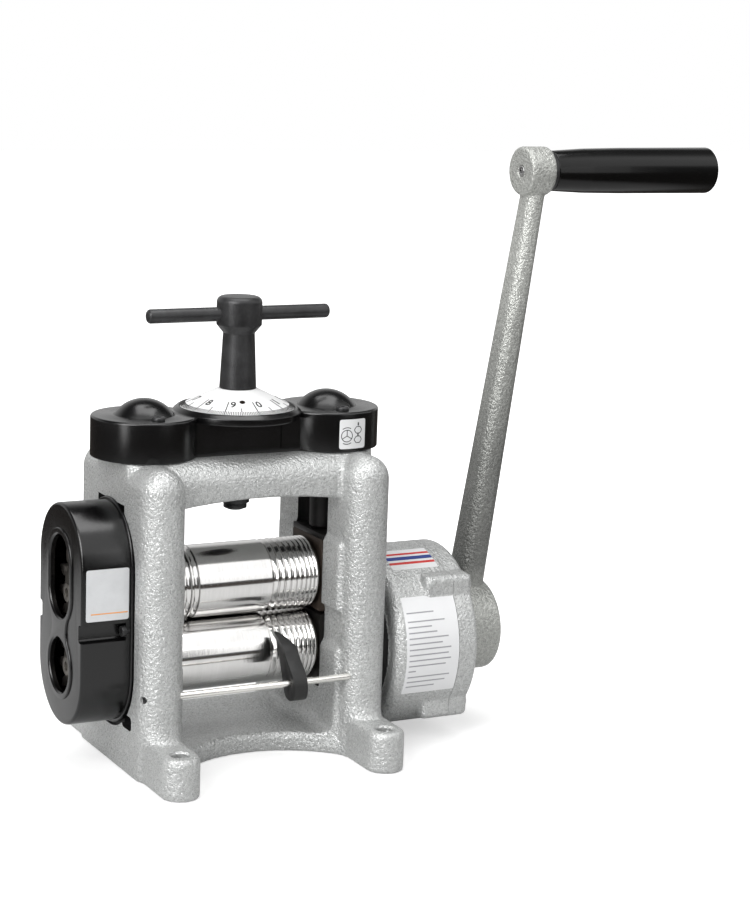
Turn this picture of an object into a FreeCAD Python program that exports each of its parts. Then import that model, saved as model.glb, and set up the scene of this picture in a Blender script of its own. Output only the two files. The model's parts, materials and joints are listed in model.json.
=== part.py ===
"""Jewellers rolling mill: two hand cranked rolls in a cast frame, with a geared crank and screw-down top.

Frame of the part, in millimetres: X runs along the roll axes and points to the crank, -Y is the feeding
side, Z is up. The origin is the centre of the four bench bolts, on the plane of the feet.
"""
import FreeCAD, Part
import math
import os

V = FreeCAD.Vector

# ---- fits ----
run_gap = 0.05            # radial clearance of a running shaft
slide_gap = 0.1           # a chock in its slot, on each side
free_gap = 0.3            # between pieces that move past each other

# ---- rolls ----
roll_face = 110.0
roll_r = 26.0
nip_gap = 0.3
lower_axis_z = 71.0
journal_r = 15.0
gear_seat_r = 11.0
v_grooves = 9
v_groove_wide = 4.6       # the widest wire groove
v_groove_step = 0.3       # each groove is this much narrower than the last
v_land = 0.55
half_round_grooves = 3
half_round_wide = 5.0
half_round_land = 0.87
half_round_deep = 1.5
max_opening = 6.0

# ---- frame ----
upright_inner = 61.5
upright_wide = 32.0
upright_deep = 133.0
frame_top = 216.5
beam_deep = 90.0
beam_h = 31.5             # at its ends, where the arch is lowest
arch_rise = 4.5
base_t = 14.0
apron_r = 80.0
apron_waist = 24.5        # from the middle to the base plate's hollow front
base_rear = 62.0          # from the middle to its straight rear edge
base_cove = 6.0
foot_x = 77.7
foot_y = 90.6
foot_r = 13.75
foot_h = 29.0
foot_edge = 3.5
bolt_hole_r = 6.5
heel_h = 19.0             # the column's flare above a foot
heel_long = 11.8
heel_sunk = 0.8           # how far the flare's upper end dips into the column
heel_bend = (2.7, 5.7)    # the flare's hollow, out from the column and up from the foot
rib_t = 3.5
rib_long = 26.0
rib_edge = 3.3
upper_rib = (105.0, 154.5)
lower_rib_top = 77.5

# ---- chocks ----
chock_half = 24.0
slot_floor = 43.0
lower_chock_top = 96.2
chock_gap = 2.4
upper_chock_top = 151.0
pad_t = 4.0
washer_r = 22.0
spring_r = 3.6
spring_wire = 0.8
spring_turns = 3
spring_pocket_r = 4.8
spring_pocket_deep = 9.0
spring_y = 17.8
spring_x = 68.0

# ---- screw-down ----
screw_x = 70.0
screw_r = 10.0
key_r = 7.0
key_flat = 5.5
bush_r = 15.0
bush_flange_r = 20.0
bush_flange_t = 3.5
top_module = 2.0
centre_teeth = 16
idler_teeth = 17
screw_teeth = 20
top_addendum = 1.4
top_dedendum = 1.8
gear_lift = 4.5           # from the frame's top to the gears
top_gear_t = 11.0
spindle_r = 8.0
idler_pin_deep = 12.0
spindle_collar_r = 10.1
spindle_collar_h = 10.4
spindle_nut_r = 8.3
spindle_nut_h = 4.0
spindle_tail = 1.1

# ---- top cover, dial and handle ----
lobe_r = 37.0
cover_h = 28.3
cover_wall = 2.2
cover_top_t = 3.0
waist_half = 21.0
brim_r = 45.0
brim_t = 4.8
rim_h = 2.6
dial_r = 40.0
dial_edge_h = 2.6         # from the cover's top to the dial's edge
dial_cone_h = 12.6
dome_r = 20.9
dome_h = 11.2
cover_screw_y = 25.5
cover_screw_r = 2.0
cover_head_r = 4.6
cover_screw_deep = 10.0   # in the frame
spindle_base_r = 12.85
spindle_neck_r = 11.2
neck_h = 40.0             # from the dial's top, as the three heights after it
hub_low_h = 44.8
hub_top_h = 64.6
bar_h = 52.3
hub_r = 15.8
bar_r = 5.0
bar_long = 138.0

# ---- roll gears and their guard ----
roll_teeth = 11
roll_gear_tip_r = 31.3
roll_gear_root_r = 20.2
roll_gear_x = 97.5        # its inner face, on the left
roll_gear_t = 22.0
guard_r = 41.4
guard_low_z = 76.0
guard_high_z = 145.0
guard_face_x = 130.0
guard_wall = 3.0
guard_flange_r = 46.0
guard_flange_t = 3.5
recess_deep = 2.0
recess_r = 50.0
eye_r = 19.1
eye_low_z = 73.5
eye_high_z = 125.4
eye_slot = 19.3
well_z = 103.7
well_half = 6.2
well_deep = 6.0
guard_screw_r = 2.2
guard_head_r = 3.8
guard_screw_deep = 16.0   # in the frame

# ---- reduction gear ----
gear_module = 2.0
sun_teeth = 18
planet_teeth = 18
ring_teeth = 54
planets = 3
sun_start = 0.0           # the angle of one sun tooth at rest
planet_x = 116.5
planet_t = 17.0
drum_r = 66.0
drum_x = 100.0
drum_split_x = 150.0
drum_end_x = 166.0
drum_edge = 8.0
cap_edge = 3.5
neck_r = 52.0
drum_bore_r = 58.5
drum_floor = 6.0
lug_reach = 53.4          # from the axis to a lug's flat sides
lug_edge = 5.0
lug_at = 44.0
lug_long = 22.0
lug_screw_r = 2.5
mount_y = 38.0
mount_z = 24.0
mount_deep = 14.0
sun_shaft_r = 12.5
bearing_r = 20.0
pin_r = 5.0
carrier_r = 47.0
carrier_t = 6.0
carrier_post_r = 6.0

# ---- crank ----
crank_hub_r = 34.0
crank_hub_x = 168.0
crank_hub_long = 37.0
crank_len = 339.3
crank_lean = 47.7         # from the hub's middle out to the boss's middle
arm_base_out = 1.3        # the arm's foot, out from the hub's middle
arm_tip_out = 2.1         # its tip, out from the boss's middle
arm_start = 12.0          # from the hub's centre
arm_stop = 6.0            # short of the boss's centre
arm_base = (24.0, 29.0, 10.5)
arm_tip = (14.0, 20.0, 6.4)
boss_r = 17.9
boss_long = 21.0
crank_washer_t = 3.0
crank_screw_r = 5.0
crank_head_r = 8.0
crank_head_t = 5.5
grip_end_r = 14.8         # at the crank
grip_r = 17.4
grip_swell = ((10.0, 15.4), (28.0, 16.4), (55.0, 16.9), (95.0, 17.3))     # along the grip, radius
grip_long = 141.1
grip_well_r = 10.0
grip_well_deep = 8.0
grip_head_r = 8.4
grip_head_t = 4.7
collar_r = 15.1
collar_t = 3.6
grip_pin_r = 5.0
grip_thread_r = 3.8

# ---- wire guide ----
rod_r = 2.5
rod_y = -58.0
rod_z = 59.3
guide_x = 18.7
guide_wide = 10.8
# the guide's outline, as (Y, Z) from the rod's axis: its tip, its brow and the curve round its foot
guide_tip = (29.1, 30.1)
guide_brow = ((15.1, 24.5), (10.3, 20.1))
guide_curve = ((1.7, 11.1), (-5.4, 3.3), (-7.2, -3.3), (-4.9, -10.7), (1.5, -13.2), (7.8, -11.0),
               (11.5, -4.8), (14.0, 1.7), (16.6, 7.7), (20.1, 15.2), (23.3, 23.2))
guide_slope = ((1.2, 0.6), (6.0, -2.4), (10.8, -8.2))    # its top, from the tip's side: across, up

# ---- places worked out from the sizes above ----
upper_axis_z = lower_axis_z + 2 * roll_r + nip_gap
beam_end_z = frame_top - beam_h
top_gear_z = frame_top + gear_lift
roll_end = roll_face / 2
upright_outer = upright_inner + upright_wide
upright_mid = upright_inner + upright_wide / 2
upright_round = upright_wide / 2
upright_straight = upright_deep / 2 - upright_round
slot_half = chock_half + slide_gap
chock_inner = upright_inner - rib_t
upper_chock_bottom = lower_chock_top + chock_gap
lower_axis = V(0, 0, lower_axis_z)
upper_axis = V(0, 0, upper_axis_z)
recess_x = upright_outer - recess_deep
chock_outer = recess_x - free_gap
cover_top = frame_top + cover_h
dial_edge_z = cover_top + dial_edge_h
dial_top_z = dial_edge_z + dial_cone_h
neck_z = dial_top_z + neck_h
hub_z = dial_top_z + hub_low_h
hub_top = dial_top_z + hub_top_h
bar_z = dial_top_z + bar_h
spindle_step_z = beam_end_z + arch_rise - 0.5
spindle_collar_z = spindle_step_z - spindle_collar_h
spindle_nut_z = spindle_collar_z - spindle_nut_h
planet_orbit = gear_module * (sun_teeth + planet_teeth) / 2
boss_mid_x = crank_hub_x + crank_hub_long / 2 + crank_lean
boss_x = boss_mid_x - boss_long / 2
grip_z = lower_axis_z + crank_len
collar_x = boss_x + boss_long + free_gap
grip_x = collar_x + collar_t
grip_end_x = grip_x + grip_long
idler_x = top_module * (centre_teeth + idler_teeth) / 2

shapes = {}


# ---- helpers ----

def box(x0, x1, y0, y1, z0, z1):
    return Part.makeBox(x1 - x0, y1 - y0, z1 - z0, V(x0, y0, z0))


def rod_x(radius, x0, x1, centre):
    """Cylinder along X from x0 to x1 on the axis through centre."""
    return Part.makeCylinder(radius, x1 - x0, V(x0, centre.y, centre.z), V(1, 0, 0))


def rod_up(radius, z0, z1, x=0.0, y=0.0):
    return Part.makeCylinder(radius, z1 - z0, V(x, y, z0))


def tube_x(outer, inner, x0, x1, centre):
    return rod_x(outer, x0, x1, centre).cut(rod_x(inner, x0 - 1, x1 + 1, centre))


def tube_up(outer, inner, z0, z1, x=0.0, y=0.0):
    return rod_up(outer, z0, z1, x, y).cut(rod_up(inner, z0 - 1, z1 + 1, x, y))


def fuse(first, *others):
    return first.fuse(list(others)).removeSplitter()


def mirrored(shape):
    """The same shape on the other side of the mill."""
    return shape.mirror(V(0, 0, 0), V(1, 0, 0))


def turned_profile_x(points, centre):
    """Solid of revolution about the X axis through centre, from (x, radius) points."""
    corners = [V(x, centre.y, centre.z + r) for x, r in points]
    face = Part.Face(Part.makePolygon(corners + [corners[0]]))
    return face.revolve(centre, V(1, 0, 0), 360)


def turned_profile_up(points, x=0.0):
    """Solid of revolution about a vertical axis, from (radius, z) points."""
    corners = [V(x + r, 0, z) for r, z in points]
    face = Part.Face(Part.makePolygon(corners + [corners[0]]))
    return face.revolve(V(x, 0, 0), V(0, 0, 1), 360)


def stadium_side(radius, z0, z1, x0, x1):
    """A plate with round ends: centres at z0 and z1 on Y = 0, from x0 to x1."""
    body = box(x0, x1, -radius, radius, z0, z1)
    return fuse(body, rod_x(radius, x0, x1, V(0, 0, z0)), rod_x(radius, x0, x1, V(0, 0, z1)))


def edges_where(shape, test):
    return [edge for edge in shape.Edges if test(edge)]


def hex_socket(centre, direction, across, deep):
    """A hexagonal prism that sinks into a screw head from centre against direction."""
    radius = across / math.sqrt(3)
    side = V(0, 0, 1) if abs(direction.z) < 0.5 else V(1, 0, 0)
    other = direction.cross(side)
    ring = [centre + side * (radius * math.cos(a)) + other * (radius * math.sin(a))
            for a in [math.pi / 3 * k for k in range(6)]]
    face = Part.Face(Part.makePolygon(ring + [ring[0]]))
    return face.extrude(direction * -deep)


# ---- gear teeth ----

def involute(angle):
    return math.tan(angle) - angle


def tooth_half_angle(radius, teeth, module, thinning, pressure=math.radians(20)):
    """Half the angle that a tooth fills at this radius. thinning is taken off the pitch thickness."""
    pitch = module * teeth / 2
    at_pitch = math.pi / (2 * teeth) - thinning / (2 * pitch)
    cosine = min(1.0, pitch * math.cos(pressure) / radius)
    return at_pitch + involute(pressure) - involute(math.acos(cosine))


def gear_face(teeth, module, tip_r, root_r, steps, thinning, start, root_narrow=0.0):
    """Flat gear outline in local coordinates (a, b). One tooth's middle lies at the angle start."""
    base = module * teeth / 2 * math.cos(math.radians(20))
    low = max(base, root_r)
    radii = [low + (tip_r - low) * k / steps for k in range(steps + 1)]
    flank = [(r, tooth_half_angle(r, teeth, module, thinning)) for r in radii]
    if root_r < base:
        flank = [(root_r, flank[0][1] - root_narrow)] + flank
    points = []
    for tooth in range(teeth):
        middle = start + 2 * math.pi * tooth / teeth
        rising = [(r, middle - half) for r, half in flank]
        falling = [(r, middle + half) for r, half in reversed(flank)]
        points += [(r * math.cos(a), r * math.sin(a)) for r, a in rising + falling]
    return points


def gear_x(points, x0, thick, centre):
    """Extrudes a gear outline along X. Angles run from +Y towards +Z."""
    corners = [V(x0, centre.y + a, centre.z + b) for a, b in points]
    return Part.Face(Part.makePolygon(corners + [corners[0]])).extrude(V(thick, 0, 0))


def gear_up(points, z0, thick, x):
    corners = [V(x + a, b, z0) for a, b in points]
    return Part.Face(Part.makePolygon(corners + [corners[0]])).extrude(V(0, 0, thick))


# ---- frame ----

def upright():
    """The right upright: a plate with round front and back and a rounded top, with its slot and ribs."""
    straight = box(upright_inner, upright_outer, -upright_straight, upright_straight, 0,
                   frame_top - upright_round)
    ends = [rod_up(upright_round, 0, frame_top - upright_round, upright_mid, y)
            for y in (-upright_straight, upright_straight)]
    shoulder_z = frame_top - upright_round
    ridge = Part.makeCylinder(upright_round, 2 * upright_straight,
                              V(upright_mid, -upright_straight, shoulder_z), V(0, 1, 0))
    balls = [Part.makeSphere(upright_round, V(upright_mid, y, shoulder_z))
             for y in (-upright_straight, upright_straight)]
    pad = rod_up(lobe_r - 1, beam_end_z, frame_top, screw_x)
    pad = pad.common(box(0, upright_outer, -lobe_r, lobe_r, beam_end_z, frame_top))
    ribs = []
    for side in (-1, 1):
        near = side * slot_half
        far = side * (slot_half + rib_long)
        for z0, z1 in ((0, lower_rib_top), upper_rib):
            rib = box(chock_inner, upright_inner + 1, min(near, far), max(near, far), z0, z1)
            ribs.append(rib.makeFillet(rib_edge, edges_where(rib, lambda e: rib_rim(e, far, z1))))
    return fuse(straight, ridge, pad, *ends, *balls, *ribs)


def rib_rim(edge, far, top):
    """Tells whether an edge is the rib's outer upright edge or its upper one, on the rib's open side."""
    spot = edge.BoundBox
    on_face = spot.XMax < chock_inner + 0.1
    return on_face and (abs(spot.YMin - far) < 0.1 and abs(spot.YMax - far) < 0.1 or spot.ZMin > top - 0.1)


def foot(side_y):
    """One foot with its flare up the column, on the right."""
    end_y = side_y * foot_y
    slab = rod_up(foot_r, 0, foot_h, foot_x, end_y)
    inner_y = side_y * upright_straight
    web = box(foot_x - foot_r, foot_x + foot_r, min(end_y, inner_y), max(end_y, inner_y), 0, foot_h)
    slab = fuse(slab, web)
    top = edges_where(slab, lambda e: e.BoundBox.ZMin > foot_h - 0.1
                      and not (e.BoundBox.YLength < 0.1 and abs(e.BoundBox.YMin - inner_y) < 0.1))
    slab = slab.makeFillet(foot_edge, top)
    front = side_y * upright_deep / 2
    toe = front + side_y * heel_long
    bend = V(0, front + side_y * heel_bend[0], foot_h + heel_bend[1])
    half = foot_r - foot_edge - 0.6
    sunk = front - side_y * heel_sunk
    arc = Part.Arc(V(0, sunk, foot_h + heel_h), bend, V(0, toe, foot_h)).toShape()
    low = foot_h - 2 * foot_edge
    back = Part.makePolygon([V(0, toe, foot_h), V(0, toe, low), V(0, inner_y, low),
                             V(0, inner_y, foot_h + heel_h), V(0, sunk, foot_h + heel_h)])
    heel = Part.Face(Part.Wire(arc.Edges + back.Edges)).extrude(V(2 * half, 0, 0))
    heel.translate(V(upright_mid - half, 0, 0))
    return fuse(slab, heel)


def beam():
    """The cross beam: rounded top edges, and a shallow arch below."""
    half = beam_deep / 2
    edge = frame_top - (beam_end_z + arch_rise + 9.5)
    lean = edge * (1 - math.sqrt(0.5))
    points = [V(0, -half, beam_end_z), V(0, -half, frame_top - edge), V(0, -half + edge, frame_top),
              V(0, half - edge, frame_top), V(0, half, frame_top - edge), V(0, half, beam_end_z)]
    edges = [Part.makeLine(points[0], points[1]),
             Part.Arc(points[1], V(0, -half + lean, frame_top - lean), points[2]).toShape(),
             Part.makeLine(points[2], points[3]),
             Part.Arc(points[3], V(0, half - lean, frame_top - lean), points[4]).toShape(),
             Part.makeLine(points[4], points[5]),
             Part.makeLine(points[5], points[0])]
    span = upright_inner
    body = Part.Face(Part.Wire(edges)).extrude(V(2 * upright_mid, 0, 0))
    body.translate(V(-upright_mid, 0, 0))
    arch_r = (span ** 2 + arch_rise ** 2) / (2 * arch_rise)
    arch = Part.makeCylinder(arch_r, beam_deep + 20, V(0, -half - 10, beam_end_z + arch_rise - arch_r),
                             V(0, 1, 0))
    arch = arch.common(box(-span, span, -half - 10, half + 10, beam_end_z - 20, frame_top))
    return body.cut(arch)


def base_plate():
    """The plate between the columns, hollow in front and straight behind, with a cove up each column."""
    plate = box(-upright_mid, upright_mid, -upright_deep / 2, base_rear, 0, base_t)
    hollow = rod_up(apron_r, -1, base_t + base_cove + 1, 0, -apron_waist - apron_r)
    plate = plate.cut(hollow)
    rim = edges_where(plate, lambda e: e.BoundBox.ZMin > base_t - 0.1 and e.BoundBox.XLength > 50)
    plate = plate.makeFillet(base_t * 0.4, rim)
    near = upright_inner - base_cove
    cove = box(near, upright_inner + 1, -upright_straight, upright_straight, base_t - 1, base_t + base_cove)
    cove = cove.cut(Part.makeCylinder(base_cove, upright_deep, V(near, -upright_deep / 2, base_t + base_cove),
                                      V(0, 1, 0)))
    cove = cove.cut(hollow)
    return fuse(plate, cove, mirrored(cove))


def frame_casting():
    right = fuse(upright(), foot(-1), foot(1))
    body = fuse(right, mirrored(right), beam(), base_plate())
    slot = box(chock_inner - 1, upright_outer + 5, -slot_half, slot_half, slot_floor, beam_end_z)
    cuts = [slot, mirrored(slot)]
    cuts.append(stadium_side(recess_r, guard_low_z - 3, guard_high_z, -upright_outer - 5, -recess_x))
    for x in (-foot_x, foot_x):
        for y in (-foot_y, foot_y):
            cuts.append(rod_up(bolt_hole_r, -1, foot_h + heel_h, x, y))
    for x in (-screw_x, screw_x):
        cuts.append(rod_up(bush_r, beam_end_z - 5, frame_top + 5, x))
        for y in (-cover_screw_y, cover_screw_y):
            cuts.append(rod_up(cover_screw_r, frame_top - cover_screw_deep, frame_top + 5, x, y))
    cuts.append(rod_up(bush_r - 2, beam_end_z - 5, frame_top + 5))
    for x in (-idler_x, idler_x):
        cuts.append(rod_up(pin_r - 1, frame_top - idler_pin_deep, frame_top + 5, x))
    rod_line = V(0, rod_y, rod_z)
    cuts.append(rod_x(rod_r + run_gap, -upright_outer - 5, upright_mid, rod_line))
    for y in (-1, 1):
        cuts.append(rod_x(guard_screw_r, -upright_outer, -upright_outer + guard_screw_deep,
                          guard_screw_at(y)))
    for centre in mount_screw_places():
        cuts.append(rod_x(lug_screw_r, upright_outer - mount_deep, upright_outer + 5, centre))
    return body.cut(cuts)


def frame_pieces():
    """The casting as its base, its four legs and its beam, which meet on flat planes."""
    casting = frame_casting()
    far = 2 * foot_y
    for name, z0, z1 in (("casting", -1, slot_floor), ("legs", slot_floor, beam_end_z),
                         ("beam", beam_end_z, frame_top + 1)):
        shapes["frame_" + name] = casting.common(box(-far, far, -far, far, z0, z1))


def guard_screw_at(side):
    return V(0, side * (guard_r - well_deep + guard_head_r + free_gap), well_z)


def mount_screw_places():
    """Where the reduction gear's housing is screwed to the right upright, from inside."""
    return [V(0, sy * mount_y, lower_axis_z + sz * mount_z) for sy in (-1, 1) for sz in (-1, 1)]


# ---- rolls and chocks ----

def v_groove_points(x_outer):
    """Outline points of the tapering row of V grooves, from the roll's right end inwards."""
    points = []
    x = x_outer
    for k in reversed(range(v_grooves)):
        wide = v_groove_wide - k * v_groove_step
        points += [(x - v_land, roll_r), (x - v_land - wide / 2, roll_r - wide * 0.42),
                   (x - v_land - wide, roll_r)]
        x -= v_land + wide
    return points


def half_round_points(x_inner):
    """Outline points of the half-round grooves, running from the flat part to the left end."""
    points = []
    x = x_inner
    for _ in range(half_round_grooves):
        points += [(x, roll_r), (x - half_round_wide * 0.22, roll_r - half_round_deep * 0.8),
                   (x - half_round_wide * 0.5, roll_r - half_round_deep),
                   (x - half_round_wide * 0.78, roll_r - half_round_deep * 0.8),
                   (x - half_round_wide, roll_r)]
        x -= half_round_wide + half_round_land
    return points


def roll(centre, right_end_x, with_half_round):
    edge = 0.8
    gear_end = roll_gear_x + roll_gear_t
    body = [(roll_end, roll_r - edge), (roll_end - edge, roll_r)] + v_groove_points(roll_end - edge)
    if with_half_round:
        first = -roll_end + edge + half_round_grooves * (half_round_wide + half_round_land)
        body += half_round_points(first)
    body += [(-roll_end + edge, roll_r), (-roll_end, roll_r - edge)]
    left = [(-roll_end, journal_r), (-roll_gear_x + 1.0, journal_r), (-roll_gear_x, gear_seat_r + 2),
            (-roll_gear_x, gear_seat_r), (-gear_end, gear_seat_r), (-gear_end, 0)]
    right = [(right_end_x, 0), (right_end_x, journal_r), (roll_end, journal_r)]
    return turned_profile_x(body + left + right, centre)


def chock(z0, z1, axis_z):
    """One bearing block on the right, bored for the journal and pocketed for the lift springs."""
    block = box(chock_inner, chock_outer, -chock_half, chock_half, z0, z1)
    block = block.makeChamfer(1.0, edges_where(block, lambda e: e.BoundBox.XLength > 5))
    return block.cut(rod_x(journal_r + run_gap, 0, 120, V(0, 0, axis_z)))


def spring_places():
    return [(sx * spring_x, sy * spring_y) for sx in (-1, 1) for sy in (-1, 1)]


def lower_chock():
    block = chock(slot_floor, lower_chock_top, lower_axis_z)
    for y in (-spring_y, spring_y):
        block = block.cut(rod_up(spring_pocket_r, lower_chock_top - spring_pocket_deep,
                                 lower_chock_top + 1, spring_x, y))
    return block


def upper_chock():
    block = chock(upper_chock_bottom, upper_chock_top, upper_axis_z)
    for y in (-spring_y, spring_y):
        block = block.cut(rod_up(spring_pocket_r, upper_chock_bottom - 1,
                                 upper_chock_bottom + spring_pocket_deep, spring_x, y))
    return block


def lift_spring(x, y):
    """A short coil with square wire between the two pockets."""
    z0 = lower_chock_top - spring_pocket_deep
    z1 = upper_chock_bottom + spring_pocket_deep
    wire_h = spring_wire
    lift = (z1 - z0 - 2 * wire_h) / spring_turns
    helix = Part.makeHelix(lift, lift * spring_turns, spring_r)
    start = V(spring_r, 0, 0)
    half = wire_h * 0.9
    square = Part.makePolygon([start + V(-half, 0, -half), start + V(half, 0, -half),
                               start + V(half, 0, half), start + V(-half, 0, half),
                               start + V(-half, 0, -half)])
    coil = Part.Wire(helix).makePipeShell([square], True, True)
    coil.translate(V(x, y, z0 + wire_h))
    return coil


def washer_x(outer, inner, x0, x1, centre):
    return tube_x(outer, inner, x0, x1, centre)


def roll_gear(centre, start):
    points = gear_face(roll_teeth, 2 * roll_r / roll_teeth, roll_gear_tip_r, roll_gear_root_r, 3, 0.6,
                       start, 0.07)
    gear = gear_x(points, -roll_gear_x - roll_gear_t, roll_gear_t, centre)
    return gear.cut(rod_x(gear_seat_r, -200, -50, centre))


def gear_cap(centre):
    """The washer and socket screw that hold a roll gear on its shaft."""
    end = -(roll_gear_x + roll_gear_t)
    washer = rod_x(gear_seat_r + 2.5, end - 2.5, end, centre)
    head = rod_x(6.5, end - 6.0, end - 2.5, centre)
    tool = hex_socket(V(end - 6.0, centre.y, centre.z), V(-1, 0, 0), 6.0, 2.8)
    return fuse(washer, head).cut(tool)


# ---- screw-down ----

def key_section(radius, flat, z0, z1, x):
    body = rod_up(radius, z0, z1, x)
    return body.common(box(x - flat, x + flat, -radius, radius, z0, z1))


def pressure_screw(x):
    bottom = upper_chock_top + pad_t + slide_gap
    shoulder = top_gear_z - max_opening - 1.0
    top = cover_top - 1.5
    nose = turned_profile_up([(0, bottom), (screw_r - 2, bottom), (screw_r, bottom + 2),
                              (screw_r, shoulder), (0, shoulder)], x)
    return fuse(nose, key_section(key_r, key_flat, shoulder, top, x))


def top_gear(teeth, x, start, bore=None):
    pitch = top_module * teeth / 2
    points = gear_face(teeth, top_module, pitch + top_addendum, pitch - top_dedendum, 1, 0.3, start)
    gear = gear_up(points, top_gear_z, top_gear_t, x)
    return gear.cut(bore)


def screw_gear(x, start):
    bore = key_section(key_r + run_gap, key_flat + run_gap, top_gear_z - 1, top_gear_z + top_gear_t + 1, x)
    return top_gear(screw_teeth, x, start, bore)


def screw_bush(x):
    body = rod_up(bush_r, beam_end_z + 1, frame_top, x)
    flange = rod_up(bush_flange_r, frame_top, frame_top + bush_flange_t, x)
    return fuse(body, flange).cut(rod_up(screw_r + run_gap, 100, 300, x))


def spindle_bush():
    body = rod_up(bush_r - 2, beam_end_z + arch_rise, frame_top)
    flange = rod_up(bush_r, frame_top, frame_top + bush_flange_t)
    return fuse(body, flange).cut(rod_up(spindle_r + run_gap, 100, 300))


def idler_pin(x):
    shank = rod_up(pin_r - 1, frame_top - idler_pin_deep, frame_top, x)
    seat = rod_up(pin_r + 2, frame_top, top_gear_z - 0.5, x)
    post = rod_up(pin_r, top_gear_z - 0.5, top_gear_z + top_gear_t + 0.5, x)
    head = rod_up(pin_r + 2, top_gear_z + top_gear_t + 0.5, top_gear_z + top_gear_t + 2.5, x)
    return fuse(shank, seat, post, head)


def handle_spindle():
    """Tapered column and hub in one turning, with a plain shaft below that carries dial and gear."""
    round_over = 4.5
    low = spindle_nut_z - spindle_tail
    points = [(0, low), (spindle_r - 2.5, low), (spindle_r - 2, low + 0.5), (spindle_r - 2, spindle_step_z),
              (spindle_r, spindle_step_z), (spindle_r, dial_top_z), (spindle_base_r, dial_top_z),
              (spindle_base_r, dial_top_z + 1.5), (spindle_neck_r, neck_z), (hub_r, hub_z)]
    steps = 5
    for k in range(steps + 1):
        turn = math.pi / 2 * k / steps
        points.append((hub_r - round_over + round_over * math.cos(turn),
                       hub_top - round_over + round_over * math.sin(turn)))
    points.append((0, hub_top))
    body = turned_profile_up(points)
    return body.cut(rod_x(bar_r, -50, 50, V(0, 0, bar_z)))


def t_bar():
    half = bar_long / 2
    bar = rod_x(bar_r, -half, half, V(0, 0, bar_z))
    return bar.makeFillet(bar_r * 0.6, edges_where(bar, lambda e: e.BoundBox.XLength < 0.01))


def spindle_collar():
    return tube_up(spindle_collar_r, spindle_r - 2, spindle_collar_z, spindle_step_z - free_gap)


def spindle_nut():
    return tube_up(spindle_nut_r, spindle_r - 2, spindle_nut_z, spindle_collar_z)


def dial():
    """Hollow white cone with a hub on the spindle and a grub screw hole in its face."""
    wall = 3.0
    floor_z = cover_top - 1.2
    slope = (dial_top_z - dial_edge_z) / (dial_r - spindle_base_r - 1.0)
    hub = spindle_r + 6
    inner_edge = dial_r - wall
    inner_top = dial_edge_z - wall * 0.4 + slope * (inner_edge - hub)
    points = [(spindle_r, dial_top_z), (spindle_base_r + 1.0, dial_top_z), (dial_r, dial_edge_z),
              (dial_r, floor_z), (inner_edge, floor_z), (inner_edge, dial_edge_z - wall * 0.4),
              (hub, inner_top), (hub, floor_z), (spindle_r, floor_z)]
    body = turned_profile_up(points)
    return body.cut(dial_screw_line(1.3, spindle_r + 1, dial_r + 10))


def dial_screw_line(radius, start, stop):
    """A rod that slopes out of the dial's hub, square to the cone's face, on the feeding side."""
    rise = (dial_top_z - dial_edge_z) / (dial_r - spindle_base_r - 1.0)
    mid = (dial_r + spindle_base_r) / 2 + 2.0
    foot_point = V(0, -mid, dial_edge_z + rise * (dial_r - mid))
    direction = V(0, -rise, 1)
    direction.normalize()
    base = foot_point - direction * 6.0
    return Part.makeCylinder(radius, stop - start - 20, base, direction)


# ---- top cover ----

def dome(x, radius, height, z0):
    ball_r = (radius ** 2 + height ** 2) / (2 * height)
    ball = Part.makeSphere(ball_r, V(x, 0, z0 + height - ball_r))
    return ball.common(rod_up(radius, z0 - 1, z0 + height + 1, x))


def top_cover():
    lobes = []
    for x in (-screw_x, screw_x):
        lobe = rod_up(lobe_r, frame_top, cover_top, x)
        rim = edges_where(lobe, lambda e: e.BoundBox.ZMin > cover_top - 0.1)
        lobes.append(lobe.makeFillet(1.6, rim))
        lobes.append(dome(x, dome_r, dome_h, cover_top))
    waist = box(-screw_x, screw_x, -waist_half, waist_half, frame_top, cover_top)
    brim = turned_profile_up([(0, cover_top - brim_t), (brim_r - 0.8, cover_top - brim_t),
                              (brim_r, cover_top - brim_t + 0.8), (brim_r, cover_top - 0.8),
                              (brim_r - 1.6, cover_top + rim_h), (0, cover_top + rim_h)])
    body = fuse(waist, brim, *lobes)
    inner_top = cover_top - cover_top_t
    gear_room = top_gear_z + top_gear_t + 3.2
    hollow = [rod_up(lobe_r - cover_wall, frame_top - 1, inner_top, x) for x in (-screw_x, screw_x)]
    hollow += [rod_up(key_r + 4, inner_top - 1, cover_top + dome_h - 3, x) for x in (-screw_x, screw_x)]
    hollow.append(box(-screw_x, screw_x, -waist_half + cover_wall, waist_half - cover_wall,
                      frame_top - 1, gear_room))
    hollow.append(rod_up(dial_r + 0.6, cover_top - 2.0, cover_top + 10))
    hollow.append(rod_up(spindle_r + 0.6, frame_top, cover_top + 10))
    body = body.cut(hollow)
    pillars = []
    for x in (-screw_x, screw_x):
        for y in (-cover_screw_y, cover_screw_y):
            pillars.append(rod_up(3.6, frame_top, inner_top + 0.5, x, y))
    body = fuse(body, *pillars)
    holes = []
    for x in (-screw_x, screw_x):
        for y in (-cover_screw_y, cover_screw_y):
            holes.append(rod_up(cover_screw_r, frame_top - 1, cover_top + 1, x, y))
    panel = box(-25, 25, -waist_half - 1, -waist_half + 0.8, frame_top + 2.5, cover_top - brim_t - 1.2)
    return body.cut(holes + [panel])


def cover_screw(x, y):
    shank = rod_up(cover_screw_r, frame_top - cover_screw_deep, cover_top, x, y)
    head = rod_up(cover_head_r, cover_top, cover_top + 2.6, x, y)
    head = head.makeFillet(1.2, edges_where(head, lambda e: e.BoundBox.ZMin > cover_top + 2.5))
    return fuse(shank, head).cut(hex_socket(V(x, y, cover_top + 2.6), V(0, 0, 1), 3.0, 1.6))


# ---- gear guard ----

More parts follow.
